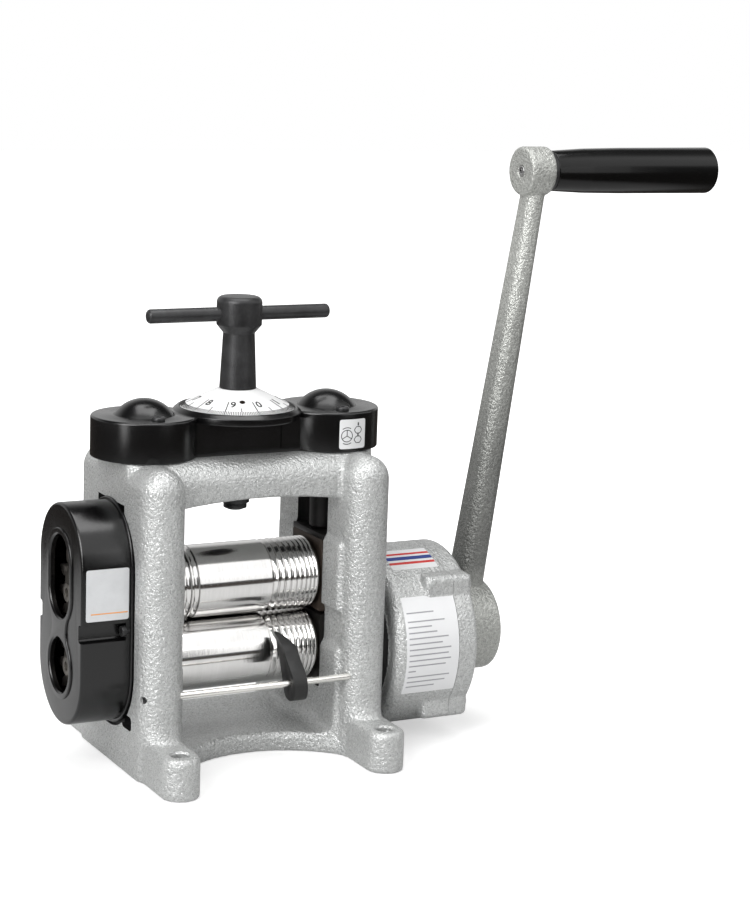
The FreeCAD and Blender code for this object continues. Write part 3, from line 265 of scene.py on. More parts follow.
finishSettings = {
    castPaint: {
        "castPaint": {"metallic": 0.48, "light": 0.56, "dark": 0.40, "tint": (0.985, 1.0, 0.99),
                      "pebble": 480.0, "rough": 0.20, "relief": 1.0, "deep": 0.0016},
        # the crank arm: the frame's paint with a darker low tone and a painted shade band, darkest from about
        # 0.12 to 0.2 m up, standing in for the shade the arm sits in
        "armPaint": {"metallic": 0.5, "light": 0.56, "dark": 0.36, "tint": (0.985, 1.0, 0.95),
                     "pebble": 480.0, "rough": 0.20, "relief": 1.0, "deep": 0.0016,
                     "fade": ((0.09, 0.9), (0.12, 0.42), (0.2, 0.42), (0.34, 1.0))},
    },
    satinPaint: {
        "blackPaint": {"tone": 0.0030, "tint": (1, 1, 1.05), "grain": 1400.0, "rough": 0.20, "relief": 0.16,
                       "gloss": 0.5},
    },
    turnedSteel: {
        "rollSteel": {"rings": 2600.0, "light": 0.80, "dark": 0.62, "tint": (1, 0.99, 0.975), "rough": 0.05,
                      "roughSpread": 0.12, "relief": 0.22},
        "rodSteel": {"rings": 1800.0, "light": 0.86, "dark": 0.74, "tint": (1, 0.98, 0.94), "rough": 0.2,
                     "roughSpread": 0.1, "relief": 0.05},
    },
    plainMetal: {
        # near-black: in the roll slots partly oiled bare iron and partly painted shade; in the frame's notch
        # and on the drum's neck painted shade
        "slotDark": {"metallic": 0.2, "light": 0.012, "dark": 0.006, "tint": (1, 1, 1), "rough": 0.5,
                     "relief": 0.3, "gloss": 0.3},
        "gearSteel": {"metallic": 0.9, "light": 0.20, "dark": 0.10, "tint": (1, 0.93, 0.84), "rough": 0.34,
                      "relief": 0.25},
        "padSteel": {"metallic": 0.5, "light": 0.02, "dark": 0.01, "tint": (1, 0.97, 0.95), "rough": 0.34,
                     "relief": 0.2, "gloss": 0.35},
        "blackSteel": {"metallic": 0.5, "light": 0.05, "dark": 0.022, "tint": (1, 1, 1.03), "rough": 0.26,
                       "relief": 0.9},
        "bronze": {"metallic": 0.7, "light": 0.07, "dark": 0.03, "tint": (1.0, 0.74, 0.58), "rough": 0.38,
                   "relief": 0.15},
        # the lower chocks: bronze made near-black, partly oil and partly painted shade where they sit below
        # the roll
        "oiledBronze": {"metallic": 0.5, "light": 0.012, "dark": 0.006, "tint": (1.0, 0.9, 0.8),
                        "rough": 0.36, "relief": 0.2, "gloss": 0.3},
        "zincSteel": {"metallic": 1.0, "light": 0.66, "dark": 0.50, "tint": (1, 1, 1), "rough": 0.2,
                      "relief": 0.08},
        "springSteel": {"metallic": 1.0, "light": 0.5, "dark": 0.36, "tint": (1, 0.98, 0.96), "rough": 0.26,
                        "relief": 0.1},
        "labelSilver": {"metallic": 0.4, "light": 0.76, "dark": 0.66, "tint": (0.97, 0.985, 1.0),
                        "rough": 0.34, "relief": 0.03},
    },
    mouldedPlastic: {
        "dialWhite": {"tone": 0.86, "grain": 1200.0, "rough": 0.36, "relief": 0.05},
        "inkBlack": {"tone": 0.010, "grain": 1200.0, "rough": 0.5, "relief": 0.02},
        "gripBlack": {"tone": 0.003, "grain": 60.0, "rough": 0.14, "relief": 0.05, "gloss": 0.30},
        "guideBlack": {"tone": 0.012, "grain": 1500.0, "rough": 0.42, "relief": 0.12, "gloss": 0.4},
        "labelWhite": {"tone": 0.80, "tint": (0.985, 0.99, 1.0), "grain": 500.0, "rough": 0.3,
                       "relief": 0.02},
        "labelGrey": {"tone": 0.34, "tint": (1.0, 1.0, 1.04), "grain": 500.0, "rough": 0.4, "relief": 0.02},
        "bandRed": {"tone": 0.62, "tint": (1.0, 0.06, 0.05), "grain": 500.0, "rough": 0.3, "relief": 0.02},
        "bandBlue": {"tone": 0.26, "tint": (0.12, 0.22, 1.0), "grain": 500.0, "rough": 0.3, "relief": 0.02},
        "bandOrange": {"tone": 0.8, "tint": (1.0, 0.42, 0.10), "grain": 500.0, "rough": 0.3, "relief": 0.02},
    },
}
finishes = {name: make(name, settings)
            for make, group in finishSettings.items() for name, settings in group.items()}
print("finishes ready:", len(finishes))

slotFinish = {"cast_paint": "castPaint", "black_paint": "blackPaint", "roll_steel": "rollSteel",
              "gear_steel": "gearSteel", "black_steel": "blackSteel", "bronze": "bronze",
              "zinc_steel": "zincSteel", "dial_white": "dialWhite", "grip_black": "gripBlack",
              "guide_black": "guideBlack", "spring_steel": "springSteel"}


# outlines and shells, in millimetres until the object is made

roundSteps = (0.4, 0.8, 1.2, math.pi / 2)       # angles along a small rounded edge


def newObject(name, mesh, finish=None):
    piece = bpy.data.objects.new(name, mesh)
    bpy.context.scene.collection.objects.link(piece)
    if finish:
        mesh.materials.clear()
        mesh.materials.append(finishes[finish])
    return piece


def circle(radius, steps=48):
    return [(radius * math.cos(2 * math.pi * k / steps), radius * math.sin(2 * math.pi * k / steps))
            for k in range(steps)]


def hexagon(radius, steps=48):
    # a six-sided outline with as many points as the circle it joins
    out = []
    for k in range(steps):
        angle = 2 * math.pi * k / steps
        reach = math.cos(math.pi / 6) / math.cos(angle % (math.pi / 3) - math.pi / 6)
        out.append((radius * reach * math.cos(angle), radius * reach * math.sin(angle)))
    return out


def stadium(radius, low, high, steps=32, middle=0.0):
    # a slot outline with round ends centred at (middle, low) and (middle, high)
    out = []
    for start, end in ((0.0, high), (math.pi, low)):
        for k in range(steps + 1):
            angle = start + math.pi * k / steps
            out.append((middle + radius * math.cos(angle), end + radius * math.sin(angle)))
    return out


def rounded(corners, steps=6, closed=True):
    # corners are (a, b) or (a, b, radius); a radius turns that corner into an arc
    out = []
    count = len(corners)
    for k, corner in enumerate(corners):
        here = Vector(corner[:2])
        radius = corner[2] if len(corner) > 2 else 0
        if radius <= 0 or (not closed and k in (0, count - 1)):
            out.append((here.x, here.y))
            continue
        before = (Vector(corners[k - 1][:2]) - here).normalized()
        after = (Vector(corners[(k + 1) % count][:2]) - here).normalized()
        half = before.angle(after) / 2
        centre = here + (before + after).normalized() * (radius / math.sin(half))
        reach = radius / math.tan(half)
        first = here + before * reach - centre
        last = here + after * reach - centre
        start = math.atan2(first.y, first.x)
        sweep = (math.atan2(last.y, last.x) - start + math.pi) % (2 * math.pi) - math.pi
        for j in range(steps + 1):
            angle = start + sweep * j / steps
            out.append((centre.x + radius * math.cos(angle), centre.y + radius * math.sin(angle)))
    return out


def edgeLayers(start, stop, radius, steps=6):
    # (place, inset) pairs that round the edge at stop
    turn = 1 if stop > start else -1
    layers = [(start, 0.0), (stop - turn * radius, 0.0)]
    for k in range(1, steps + 1):
        angle = math.pi / 2 * k / steps
        layers.append((stop - turn * radius * (1 - math.sin(angle)), radius * (1 - math.cos(angle))))
    return layers


def atX(outline, x):
    return [(x, y, z) for y, z in outline]


def atZ(outline, z):
    return [(x, y, z) for x, y in outline]


def skin(rings, loop=False):
    # joins rings of points; a ring of one point is a pole; open ends get a cap
    verts, faces, starts = [], [], []
    for ring in rings:
        starts.append(len(verts))
        verts += ring
    pairs = [(k, k + 1) for k in range(len(rings) - 1)]
    if loop:
        pairs.append((len(rings) - 1, 0))
    for a, b in pairs:
        size = max(len(rings[a]), len(rings[b]))
        for k in range(size):
            n = (k + 1) % size
            if len(rings[a]) == 1:
                faces.append((starts[a], starts[b] + n, starts[b] + k))
            elif len(rings[b]) == 1:
                faces.append((starts[a] + k, starts[a] + n, starts[b]))
            else:
                faces.append((starts[a] + k, starts[a] + n, starts[b] + n, starts[b] + k))
    if not loop:
        for k in (0, len(rings) - 1):
            if len(rings[k]) > 1:
                faces.append(tuple(starts[k] + j for j in range(len(rings[k]))))
    return verts, faces


def prismX(outline, low, high):
    return skin([atX(outline, low), atX(outline, high)])


def prismZ(outline, low, high):
    return skin([atZ(outline, low), atZ(outline, high)])


def plateX(outline, layers):
    # outline(inset) gives (y, z) points; layers are (x, inset)
    return skin([atX(outline(inset), x) for x, inset in layers])


def block(low, high):
    (x0, y0, z0), (x1, y1, z1) = low, high
    return prismZ([(x0, y0), (x1, y0), (x1, y1), (x0, y1)], z0, z1)


def turned(profile, centre, axis="X", steps=128, loop=False):
    # profile is (along, radius) pairs; radius 0 is a pole on the axis
    rings = []
    for along, radius in profile:
        ring = circle(radius, steps if radius > 0 else 1)
        if axis == "X":
            rings.append(atX([(centre[1] + a, centre[2] + b) for a, b in ring], along))
        else:
            rings.append(atZ([(centre[0] + a, centre[1] + b) for a, b in ring], along))
    return skin(rings, loop)


def drill(low, high, radius, centre, axis="X", steps=48):
    return turned([(low, 0), (low, radius), (high, radius), (high, 0)], centre, axis, steps)


def addShell(made, verts, faces, index=0):
    corners = [made.verts.new(Vector(v) * mm) for v in verts]
    for face in faces:
        made.faces.new([corners[k] for k in face]).material_index = index


def shells(name, parts, finish=None):
    # one object out of several (verts, faces) pairs, with faces outwards
    made = bmesh.new()
    for verts, faces in parts:
        addShell(made, verts, faces)
    bmesh.ops.recalc_face_normals(made, faces=made.faces)
    mesh = bpy.data.meshes.new(name)
    made.to_mesh(mesh)
    made.free()
    return newObject(name, mesh, finish)


def settle(piece):
    # applies the modifiers
    graph = bpy.context.evaluated_depsgraph_get()
    made = bpy.data.meshes.new_from_object(piece.evaluated_get(graph), depsgraph=graph)
    old = piece.data
    piece.modifiers.clear()
    piece.data = made
    bpy.data.meshes.remove(old)
    return piece


def carve(piece, tool, operation="DIFFERENCE"):
    change = piece.modifiers.new("carve", "BOOLEAN")
    change.operation = operation
    change.solver = "MANIFOLD"
    change.object = tool
    settle(piece)
    bpy.data.objects.remove(tool)


def cutAway(piece, cuts):
    for cut in cuts:
        carve(piece, shells("cut", [cut]))


def castSkin(piece, grain, softening, keep):
    # melts the shells of a piece into one skin with soft corners, as a casting has
    melt = piece.modifiers.new("melt", "REMESH")
    melt.mode = "VOXEL"
    melt.voxel_size = grain * mm
    soften = piece.modifiers.new("soften", "SMOOTH")
    soften.factor = 0.5
    soften.iterations = softening
    thin = piece.modifiers.new("thin", "DECIMATE")
    thin.ratio = keep
    settle(piece)


def smoothFaces(piece, limit):
    # smooth shading, with sharp edges where faces meet at more than limit degrees
    made = bmesh.new()
    made.from_mesh(piece.data)
    for face in made.faces:
        face.smooth = True
    for edge in made.edges:
        edge.smooth = edge.is_manifold and edge.calc_face_angle(0) < math.radians(limit)
    made.to_mesh(piece.data)
    made.free()
    return piece


def bevelEdges(piece, width):
    edge = piece.modifiers.new("edge", "BEVEL")
    edge.width = width * mm
    edge.segments = 2
    edge.limit_method = "ANGLE"
    edge.angle_limit = math.radians(30)
    edge.miter_outer = "MITER_ARC"
    settle(piece)


def fit(piece, nodes, finish=None, body=None):
    # puts a finished piece on its body, in place of its CAD nodes
    nodes = [nodes] if isinstance(nodes, str) else list(nodes)
    if finish:
        piece.data.materials.clear()
        piece.data.materials.append(finishes[finish])
    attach(piece, body or bodyOf[nodes[0]])
    if nodes:
        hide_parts(*nodes)


def dressNode(node, bevel, finish=None):
    # a merged copy of a CAD node with softened edges
    piece = newObject(node.replace("_", "-"), frame["nodes"][node].data.copy())
    made = bmesh.new()
    made.from_mesh(piece.data)
    bmesh.ops.remove_doubles(made, verts=made.verts, dist=2e-6)
    bmesh.ops.dissolve_limit(made, angle_limit=math.radians(0.5), verts=made.verts, edges=made.edges)
    made.to_mesh(piece.data)
    made.free()
    if bevel:
        bevelEdges(piece, bevel)
    smoothFaces(piece, 32)
    fit(piece, node, finish or slotFinish[slotOf[node]])


# repeats grown with geometry nodes

class Grower:
    # a geometry node tree with named inputs, used once on each object and then applied
    def __init__(self, name, inputs):
        self.tree = bpy.data.node_groups.new(name, "GeometryNodeTree")
        kinds = {int: "NodeSocketInt", float: "NodeSocketFloat", tuple: "NodeSocketVector",
                 bpy.types.Object: "NodeSocketObject", bpy.types.Material: "NodeSocketMaterial"}
        face = self.tree.interface
        face.new_socket("Geometry", in_out="INPUT", socket_type="NodeSocketGeometry")
        self.values = inputs
        self.keys = {label: face.new_socket(label, in_out="INPUT", socket_type=kinds[type(value)]).identifier
                     for label, value in inputs.items()}
        face.new_socket("Geometry", in_out="OUTPUT", socket_type="NodeSocketGeometry")
        self.start = self.tree.nodes.new("NodeGroupInput")
        self.end = self.tree.nodes.new("NodeGroupOutput")

    def given(self, label):
        return Value(self.start.outputs[label])

    def node(self, kind, settings, sockets, result=0):
        made = self.tree.nodes.new(kind)
        for key, value in settings.items():
            setattr(made, key, value)
        for key, value in sockets.items():
            if isinstance(value, Value):
                self.tree.links.new(value.socket, made.inputs[key])
            else:
                made.inputs[key].default_value = value
        return Value(made.outputs[result])

    def vector(self, **parts):
        return self.node("ShaderNodeCombineXYZ", {}, parts)

    def close(self, instances):
        real = self.node("GeometryNodeRealizeInstances", {}, {"Geometry": instances})
        done = self.node("GeometryNodeSetMaterial", {}, {"Geometry": real, "Material": self.given("Finish")})
        self.tree.links.new(done.socket, self.end.inputs[0])

    def grow(self, name, points):
        mesh = bpy.data.meshes.new(name)
        mesh.from_pydata([Vector(p) * mm for p in points], [], [])
        piece = newObject(name, mesh)
        change = piece.modifiers.new("grow", "NODES")
        change.node_group = self.tree
        for label, value in self.values.items():
            change[self.keys[label]] = value
        return settle(piece)


def ringRow(name, inputs):
    # marks laid on a cone, evenly spaced round the Z axis
    grower = Grower(name, inputs)
    given = grower.given
    size = grower.vector(X=given("Width"), Y=given("Length"), Z=given("Thickness"))
    mark = grower.node("GeometryNodeMeshCube", {}, {"Size": size})
    middle = grower.vector(Y=given("Out") * -1.0, Z=given("Height"))
    placed = grower.node("GeometryNodeTransform", {}, {
        "Geometry": mark, "Translation": middle, "Rotation": grower.vector(X=given("Slope"))})
    points = grower.node("GeometryNodePoints", {}, {"Count": given("Count")})
    order = grower.node("GeometryNodeInputIndex", {}, {})
    turn = grower.vector(Z=order * given("Step") + given("First"))
    grower.close(grower.node("GeometryNodeInstanceOnPoints", {}, {
        "Points": points, "Instance": placed, "Rotation": turn}))
    return grower.grow(name, [])


def screwRow(name, screw, axis, points, finish):
    # one screw at each point, each turned by chance about its own axis
    spin = tuple(2 * math.pi * v for v in axis)
    grower = Grower(name, {"Screw": screw, "Most turn": spin, "Seed": 7, "Finish": finishes[finish]})
    source = grower.node("GeometryNodeObjectInfo", {}, {
        "Object": grower.given("Screw"), "As Instance": True}, "Geometry")
    turn = grower.node("FunctionNodeRandomValue", {"data_type": "FLOAT_VECTOR"}, {
        0: (0, 0, 0), 1: grower.given("Most turn"), "Seed": grower.given("Seed")})
    grower.close(grower.node("GeometryNodeInstanceOnPoints", {}, {
        "Points": grower.given("Geometry"), "Instance": source, "Rotation": turn}))
    piece = grower.grow(name, points)
    bpy.data.objects.remove(screw)
    return smoothFaces(piece, 34)


def coilRow(name, inputs, points):
    # one coil of wire standing on each point
    grower = Grower(name, inputs)
    given = grower.given
    spiral = grower.node("GeometryNodeCurveSpiral", {}, {
        "Resolution": 28, "Rotations": given("Turns"), "Start Radius": given("Radius"),
        "End Radius": given("Radius"), "Height": given("Height")})
    wire = grower.node("GeometryNodeCurvePrimitiveCircle", {}, {"Resolution": 10, "Radius": given("Wire")})
    coil = grower.node("GeometryNodeCurveToMesh", {}, {
        "Curve": spiral, "Profile Curve": wire, "Fill Caps": True})
    grower.close(grower.node("GeometryNodeInstanceOnPoints", {}, {
        "Points": given("Geometry"), "Instance": coil}))
    return smoothFaces(grower.grow(name, points), 50)


def socketScrew(name, sizes):
    # a screw along Z with its seat at z = 0: shank below, head above, six-sided socket in the head
    shank, head, high, tool = (sizes[key] for key in ("shank", "head", "high", "tool"))
    tip, chamfer = -sizes["long"], 0.3
    crown = rounded([(shank, 0), (head, 0, sizes["foot"]), (head, high, sizes["crown"]), (tool + 0.4, high)],
                    5, False)
    rings = [[(0, 0, tip)], atZ(circle(shank - chamfer), tip), atZ(circle(shank), tip + chamfer)]
    rings += [atZ(circle(radius), z) for radius, z in crown]
    rings += [atZ(hexagon(tool), high - 0.25), atZ(hexagon(tool), high - sizes["deep"]),
              [(0, 0, high - sizes["deep"] - 0.5)]]
    return shells(name, [skin(rings)])


def turnTo(piece, axis):
    # turns a mesh so that its Z runs along axis
    piece.data.transform(Vector((0, 0, 1)).rotation_difference(Vector(axis)).to_matrix().to_4x4())
    return piece


# thin printed pieces that follow a face; spot(a, b, lift) gives the point above face coordinates (a, b)

def patch(spot, a, b, perA, corner=0.0, lift=0.12, sink=0.25):
    # a rectangle in two face coordinates with round corners; perA is millimetres for one unit of a
    rings = []
    wide = (a[1] - a[0]) * perA
    places = [k / 32 for k in range(33)]
    if corner:
        ends = [corner / wide * (1 - math.cos(math.pi / 2 * k / 6)) for k in range(7)]
        between = [p for p in places if corner / wide < p < 1 - corner / wide]
        places = ends + between + [1 - p for p in reversed(ends)]
    for place in places:
        short = max(0.0, corner - min(place, 1 - place) * wide)
        inset = corner - math.sqrt(max(corner ** 2 - short ** 2, 0.0)) if corner else 0.0
        at = a[0] + (a[1] - a[0]) * place
        low, high = b[0] + inset, b[1] - inset
        top = [spot(at, low + (high - low) * k / 12, lift) for k in range(13)]
        rings.append([spot(at, low, -sink)] + top + [spot(at, high, -sink)])
    return skin(rings)


def ribbon(spot, path, perA, width, loop=False, lift=0.17, sink=0.2):
    # a printed line along a path of face coordinates
    rings = []
    count = len(path)
    for k, (a, b) in enumerate(path):
        before = path[(k - 1) % count] if loop or k else path[k]
        after = path[(k + 1) % count] if loop or k < count - 1 else path[k]
        run = Vector(((after[0] - before[0]) * perA, after[1] - before[1])).normalized()
        da, db = -run.y * width / 2 / perA, run.x * width / 2
        rings.append([spot(a - da, b - db, -sink), spot(a - da, b - db, lift),
                      spot(a + da, b + db, lift), spot(a + da, b + db, -sink)])
    return skin(rings, loop)


def strip(spot, along, angles, lift, sink):
    # a band laid round a face, from one place along it to another, through a row of angles
    low, high = along
    corners = ((low, -sink), (low, lift), (high, lift), (high, -sink))
    return skin([[spot(x, angle, up) for x, up in corners] for angle in angles])


def arcPath(centre, radius, perA, start=0, stop=360, steps=28):
    path = []
    for k in range(steps if stop - start == 360 else steps + 1):
        angle = math.radians(start + (stop - start) * k / steps)
        path.append((centre[0] + radius * math.cos(angle) / perA, centre[1] + radius * math.sin(angle)))
    return path


def printed(name, groups):
    # groups are (finish, parts); the first is the film the marks lie on
    made = bmesh.new()
    mesh = bpy.data.meshes.new(name)
    for index, (finish, parts) in enumerate(groups):
        mesh.materials.append(finishes[finish])
        for verts, faces in parts:
            addShell(made, verts, faces, index)
    bmesh.ops.recalc_face_normals(made, faces=made.faces)
    made.to_mesh(mesh)
    made.free()
    piece = smoothFaces(newObject(name, mesh), 30)
    fit(piece, [], None, "frame")


# frame casting

frameSizes = {
    "uprightX": 77.5, "uprightRadius": 16.0, "uprightHalf": 50.5, "top": 216.5,
    "beamHalf": 45.0, "beamLow": 185.0, "beamFoot": 2.5, "beamEdge": 17.5, "beamSunk": 8.0,
    "arch": 4.5, "archHalf": 61.5,
    "padRadius": 36.0, "padX": 70.0, "outer": 93.5,
    "plate": 14.0, "plateEdge": 5.0, "apronRadius": 80.0, "apronWaist": 24.5, "rear": 62.0, "cove": 13.0,
    # the ramp at the plate's rear: where it starts, is level and ends along Y, and how far it rises
    "ramp": (24.0, 52.0, 60.5), "rampHigh": 3.6, "rampFoot": 10.0,
    "footX": 77.7, "footY": 90.6, "footRadius": 13.75, "footHeight": 29.0, "footEdge": 3.5, "footRoot": 6.0,
    "heel": 20.0, "heelReach": 13.0, "heelNarrow": (1.8, 1.0),
    "ribX": (58.0, 68.0), "ribZ": ((0.0, 77.5), (105.0, 154.5)), "ribLong": 26.0, "ribEdge": 2.6,
    "sunk": 4.0,        # how far one shell reaches into the next
    "grain": 1.35, "softening": 7, "keep": 0.42,
    "boltRadius": 6.5, "boltSink": 2.2, "boltSeat": (27.4, 31.0),
    "slotHalf": 24.1, "slotLow": 43.0, "slotHigh": 187.0, "slotX": (50.0, 100.0), "slotFace": 57.0,
    "screwBore": 15.0, "spindleBore": 13.0, "rodBore": 2.6, "rodY": -58.0, "rodZ": 59.3,
    "recess": 45.6, "recessLow": 72.4, "recessHigh": 142.8, "recessFace": -91.5,
    "notchY": (-42.0, -25.0), "notchZ": (32.0, 42.0), "notchFace": -82.0, "notchEdge": 3.0,
}


def uprightShells(sizes, side):
    # a round-ended column and the round pad of its bearing screw
    r, half, top = sizes["uprightRadius"], sizes["uprightHalf"], sizes["top"]
    column = [atZ(stadium(max(r - inset, 0.4), -half, half, 20, side * sizes["uprightX"]), z)
              for z, inset in edgeLayers(0, top, r, 12)]
    pad = [(max(-sizes["outer"], min(sizes["outer"], side * sizes["padX"] + x)), y)
           for x, y in circle(sizes["padRadius"], 72)]
    return [skin(column), prismZ(pad, sizes["beamLow"], top)]


def footShells(sizes, side, end):
    # a foot, and the heel that flares up from it into the column
    half, high, sunk = sizes["uprightHalf"], sizes["footHeight"], sizes["sunk"]
    toe, root = end * sizes["footY"], end * (half - sizes["footRoot"])
    foot = []
    for z, inset in edgeLayers(0, high, sizes["footEdge"], 5):
        ring = stadium(sizes["footRadius"] - inset, min(toe, root), max(toe, root), 20, side * sizes["footX"])
        foot.append(atZ(ring, z))
    heel = []
    for k in range(13):
        rise = k / 12
        outer = end * (half + sizes["heelReach"] * (1 - math.sqrt(1 - (1 - rise) ** 2)))
        early, late = sizes["heelNarrow"]
        wide = sizes["uprightRadius"] - early * (1 - rise) - late * (1 - rise) ** 3
        ring = stadium(wide, min(outer, root), max(outer, root), 20, side * sizes["uprightX"])
        heel.append(atZ(ring, high - sunk + (sizes["heel"] + sunk) * rise))
    return [skin(foot), skin(heel)]


def ribShells(sizes, side, end):
    # two upright ribs beside the slot, one above the other, that narrow at their tops
    inner, outer = (side * x for x in sizes["ribX"])
    near, far = end * sizes["slotHalf"], end * (sizes["slotHalf"] + sizes["ribLong"])
    edge, middle = sizes["ribEdge"], abs(inner + outer) / 2
    rib = rounded([(inner, near), (outer, near), (outer, far), (inner, far, edge)], 5)
    ribs = []
    for low, high in sizes["ribZ"]:
        layers = [(low, 0.0), (high - edge, 0.0)]
        layers += [(high - edge * (1 - math.sin(t)), edge * (1 - math.cos(t))) for t in roundSteps]
        ribs.append(skin([[(x + side * inset * (abs(x) < middle), y, z) for x, y in rib]
                          for z, inset in layers]))
    return ribs


def coveShell(sizes, side):
    # the cove between the base plate and a column, clipped by the apron's hollow front
    half, plate, cove, sunk = (sizes[key] for key in ("uprightHalf", "plate", "cove", "sunk"))
    inner = sizes["uprightX"] - sizes["uprightRadius"]
    reach = sizes["apronWaist"] + sizes["apronRadius"]
    rings = []
    for k in range(49):
        y = -half + 2 * half * k / 48
        clip = math.sqrt(max(sizes["apronRadius"] ** 2 - (y + reach) ** 2, 0.0)) + 1.0
        start = min(max(inner - cove, clip), inner - 0.2)
        xs = [start + (inner - start) * j / 8 for j in range(9)]
        hollow = [(x, plate + cove - math.sqrt(max(cove ** 2 - (x - inner + cove) ** 2, 0))) for x in xs]
        hollow += [(inner + sunk, plate + cove), (inner + sunk, sunk), (start, sunk)]
        rings.append([(side * x, y, z) for x, z in hollow])
    return skin(rings)


def beamShell(sizes):
    # the beam, arched underneath
    half, top, foot, edge = (sizes[key] for key in ("beamHalf", "top", "beamFoot", "beamEdge"))
    reach = sizes["archHalf"] + sizes["beamSunk"]
    rings = []
    for k in range(41):
        x = -reach + 2 * reach * k / 40
        low = sizes["beamLow"] + sizes["arch"] * max(0.0, 1 - (x / sizes["archHalf"]) ** 2)
        section = [(-half, low, foot), (half, low, foot), (half, top, edge), (-half, top, edge)]
        rings.append(atX(rounded(section, 10), x))
    return skin(rings)


def baseShells(sizes):
    # the base plate with its hollow front, and the ramp at its rear
    radius, waist, plate, edge = (sizes[key] for key in ("apronRadius", "apronWaist", "plate", "uprightX"))
    deep = sizes["uprightHalf"] + 8
    rings = []
    for z, inset in edgeLayers(0, plate, sizes["plateEdge"], 5):
        ring = [(edge - 2 * edge * k / 40, sizes["rear"] - inset, z) for k in range(41)]
        for k in range(41):
            x = -edge + 2 * edge * k / 40
            y = waist + radius - math.sqrt(max(radius ** 2 - x * x, 0)) if abs(x) < radius else deep
            ring.append((x, inset - min(y, deep), z))
        rings.append(ring)
    foot, level, end = sizes["ramp"]
    high, sunk = plate + sizes["rampHigh"], sizes["sunk"]
    ramp = rounded([(sizes["rampFoot"], sunk), (end, sunk), (end, high, 2.2), (level, high, 12),
                    (foot, plate - 0.6)], 6)
    return [skin(rings), prismX(ramp, -edge, edge)]


def frameShells(sizes):
    parts = []
    for side in (-1, 1):
        parts += uprightShells(sizes, side)
        for end in (-1, 1):
            parts += footShells(sizes, side, end) + ribShells(sizes, side, end)
        parts.append(coveShell(sizes, side))
    return parts + [beamShell(sizes)] + baseShells(sizes)


def frameCuts(sizes):
    cuts = []
    half = sizes["slotHalf"]
    low, high = sizes["boltSeat"]
    r, wide = sizes["boltRadius"], sizes["boltRadius"] + sizes["boltSink"]
    bolt = [(-2, 0), (-2, r), (low, r), (high, wide), (60, wide), (60, 0)]
    for side in (-1, 1):
        x0, x1 = sorted(side * x for x in sizes["slotX"])
        cuts.append(block((x0, -half, sizes["slotLow"]), (x1, half, sizes["slotHigh"])))
        cuts.append(drill(175, 230, sizes["screwBore"], (side * sizes["padX"], 0, 0), "Z"))
        for end in (-1, 1):
            cuts.append(turned(bolt, (side * sizes["footX"], end * sizes["footY"], 0), "Z", 48))
    cuts.append(drill(-100, 80, sizes["rodBore"], (0, sizes["rodY"], sizes["rodZ"]), "X", 24))
    cuts.append(drill(180, 230, sizes["spindleBore"], (0, 0, 0), "Z"))
    recess = stadium(sizes["recess"], sizes["recessLow"], sizes["recessHigh"])
    cuts.append(prismX(recess, -100, sizes["recessFace"]))
    (y0, y1), (z0, z1), edge = sizes["notchY"], sizes["notchZ"], sizes["notchEdge"]
    notch = rounded([(y0, z0, edge), (y1, z0, edge), (y1, z1, edge), (y0, z1, edge)], 4)
    cuts.append(prismX(notch, -100, sizes["notchFace"]))
    cuts.append(block((-120, -120, -20), (120, 120, 0)))
    return cuts


def within(value, span, room):
    return min(span) - room < value < max(span) + room


def makeFrame(sizes):
    piece = shells("frame-casting", frameShells(sizes))
    castSkin(piece, sizes["grain"], sizes["softening"], sizes["keep"])
    print("frame skin:", len(piece.data.polygons), "faces")
    cutAway(piece, frameCuts(sizes))
    smoothFaces(piece, 30)
    fit(piece, ("frame_casting", "frame_legs", "frame_beam"), "castPaint")
    # faces in the roll slots and in the notch take the near-black second material: oiled bare iron with
    # painted shade in the slots, painted shade in the notch
    piece.data.materials.append(finishes["slotDark"])
    slotY, slotZ = (-sizes["slotHalf"], sizes["slotHalf"]), (sizes["slotLow"], sizes["slotHigh"])
    notchX, notchY, notchZ = (sizes["recessFace"], sizes["notchFace"]), sizes["notchY"], sizes["notchZ"]
    for face in piece.data.polygons:
        x, y, z = (c / mm for c in face.center)
        inSlot = within(y, slotY, 0.03) and within(z, slotZ, 0.03) and abs(x) > sizes["slotFace"]
        inNotch = within(x, notchX, 0.1) and within(y, notchY, 0.1) and within(z, notchZ, 0.1)
        face.material_index = 1 if inSlot or inNotch else 0


makeFrame(frameSizes)
print("frame casting done")


# rolls

rollSizes = {"half": 55.0, "radius": 26.0, "edge": 0.8, "steps": 192,
             "journal": 15.0, "gearSeat": 11.0, "shoulder": 13.0, "left": -119.5, "seatEnd": -97.5,
             "grooves": 9, "widest": 4.6, "narrower": 0.3, "land": 0.55, "steep": 0.42, "soft": 0.12,
             "hollows": 3, "hollowWide": 5.0, "hollowDeep": 1.5, "hollowLand": 0.87,
             # each roll: height, right end, whether it has the hollows for half-round wire
             "upper": (123.3, 90.7, True), "lower": (71.0, 108.5, False)}


def hollowGrooves(sizes):
    # shallow round grooves, from the left end of the face
    radius, wide, deep = sizes["radius"], sizes["hollowWide"], sizes["hollowDeep"]
    x = -sizes["half"] + sizes["edge"] + sizes["hollowLand"]
    out = []
    for _ in range(sizes["hollows"]):
        out.append((x, radius))
        for k in range(1, 9):
            angle = math.pi * k / 9
            out.append((x + wide / 2 - wide / 2 * math.cos(angle), radius - deep * math.sin(angle)))
        out.append((x + wide, radius))
        x += wide + sizes["hollowLand"]
    return out


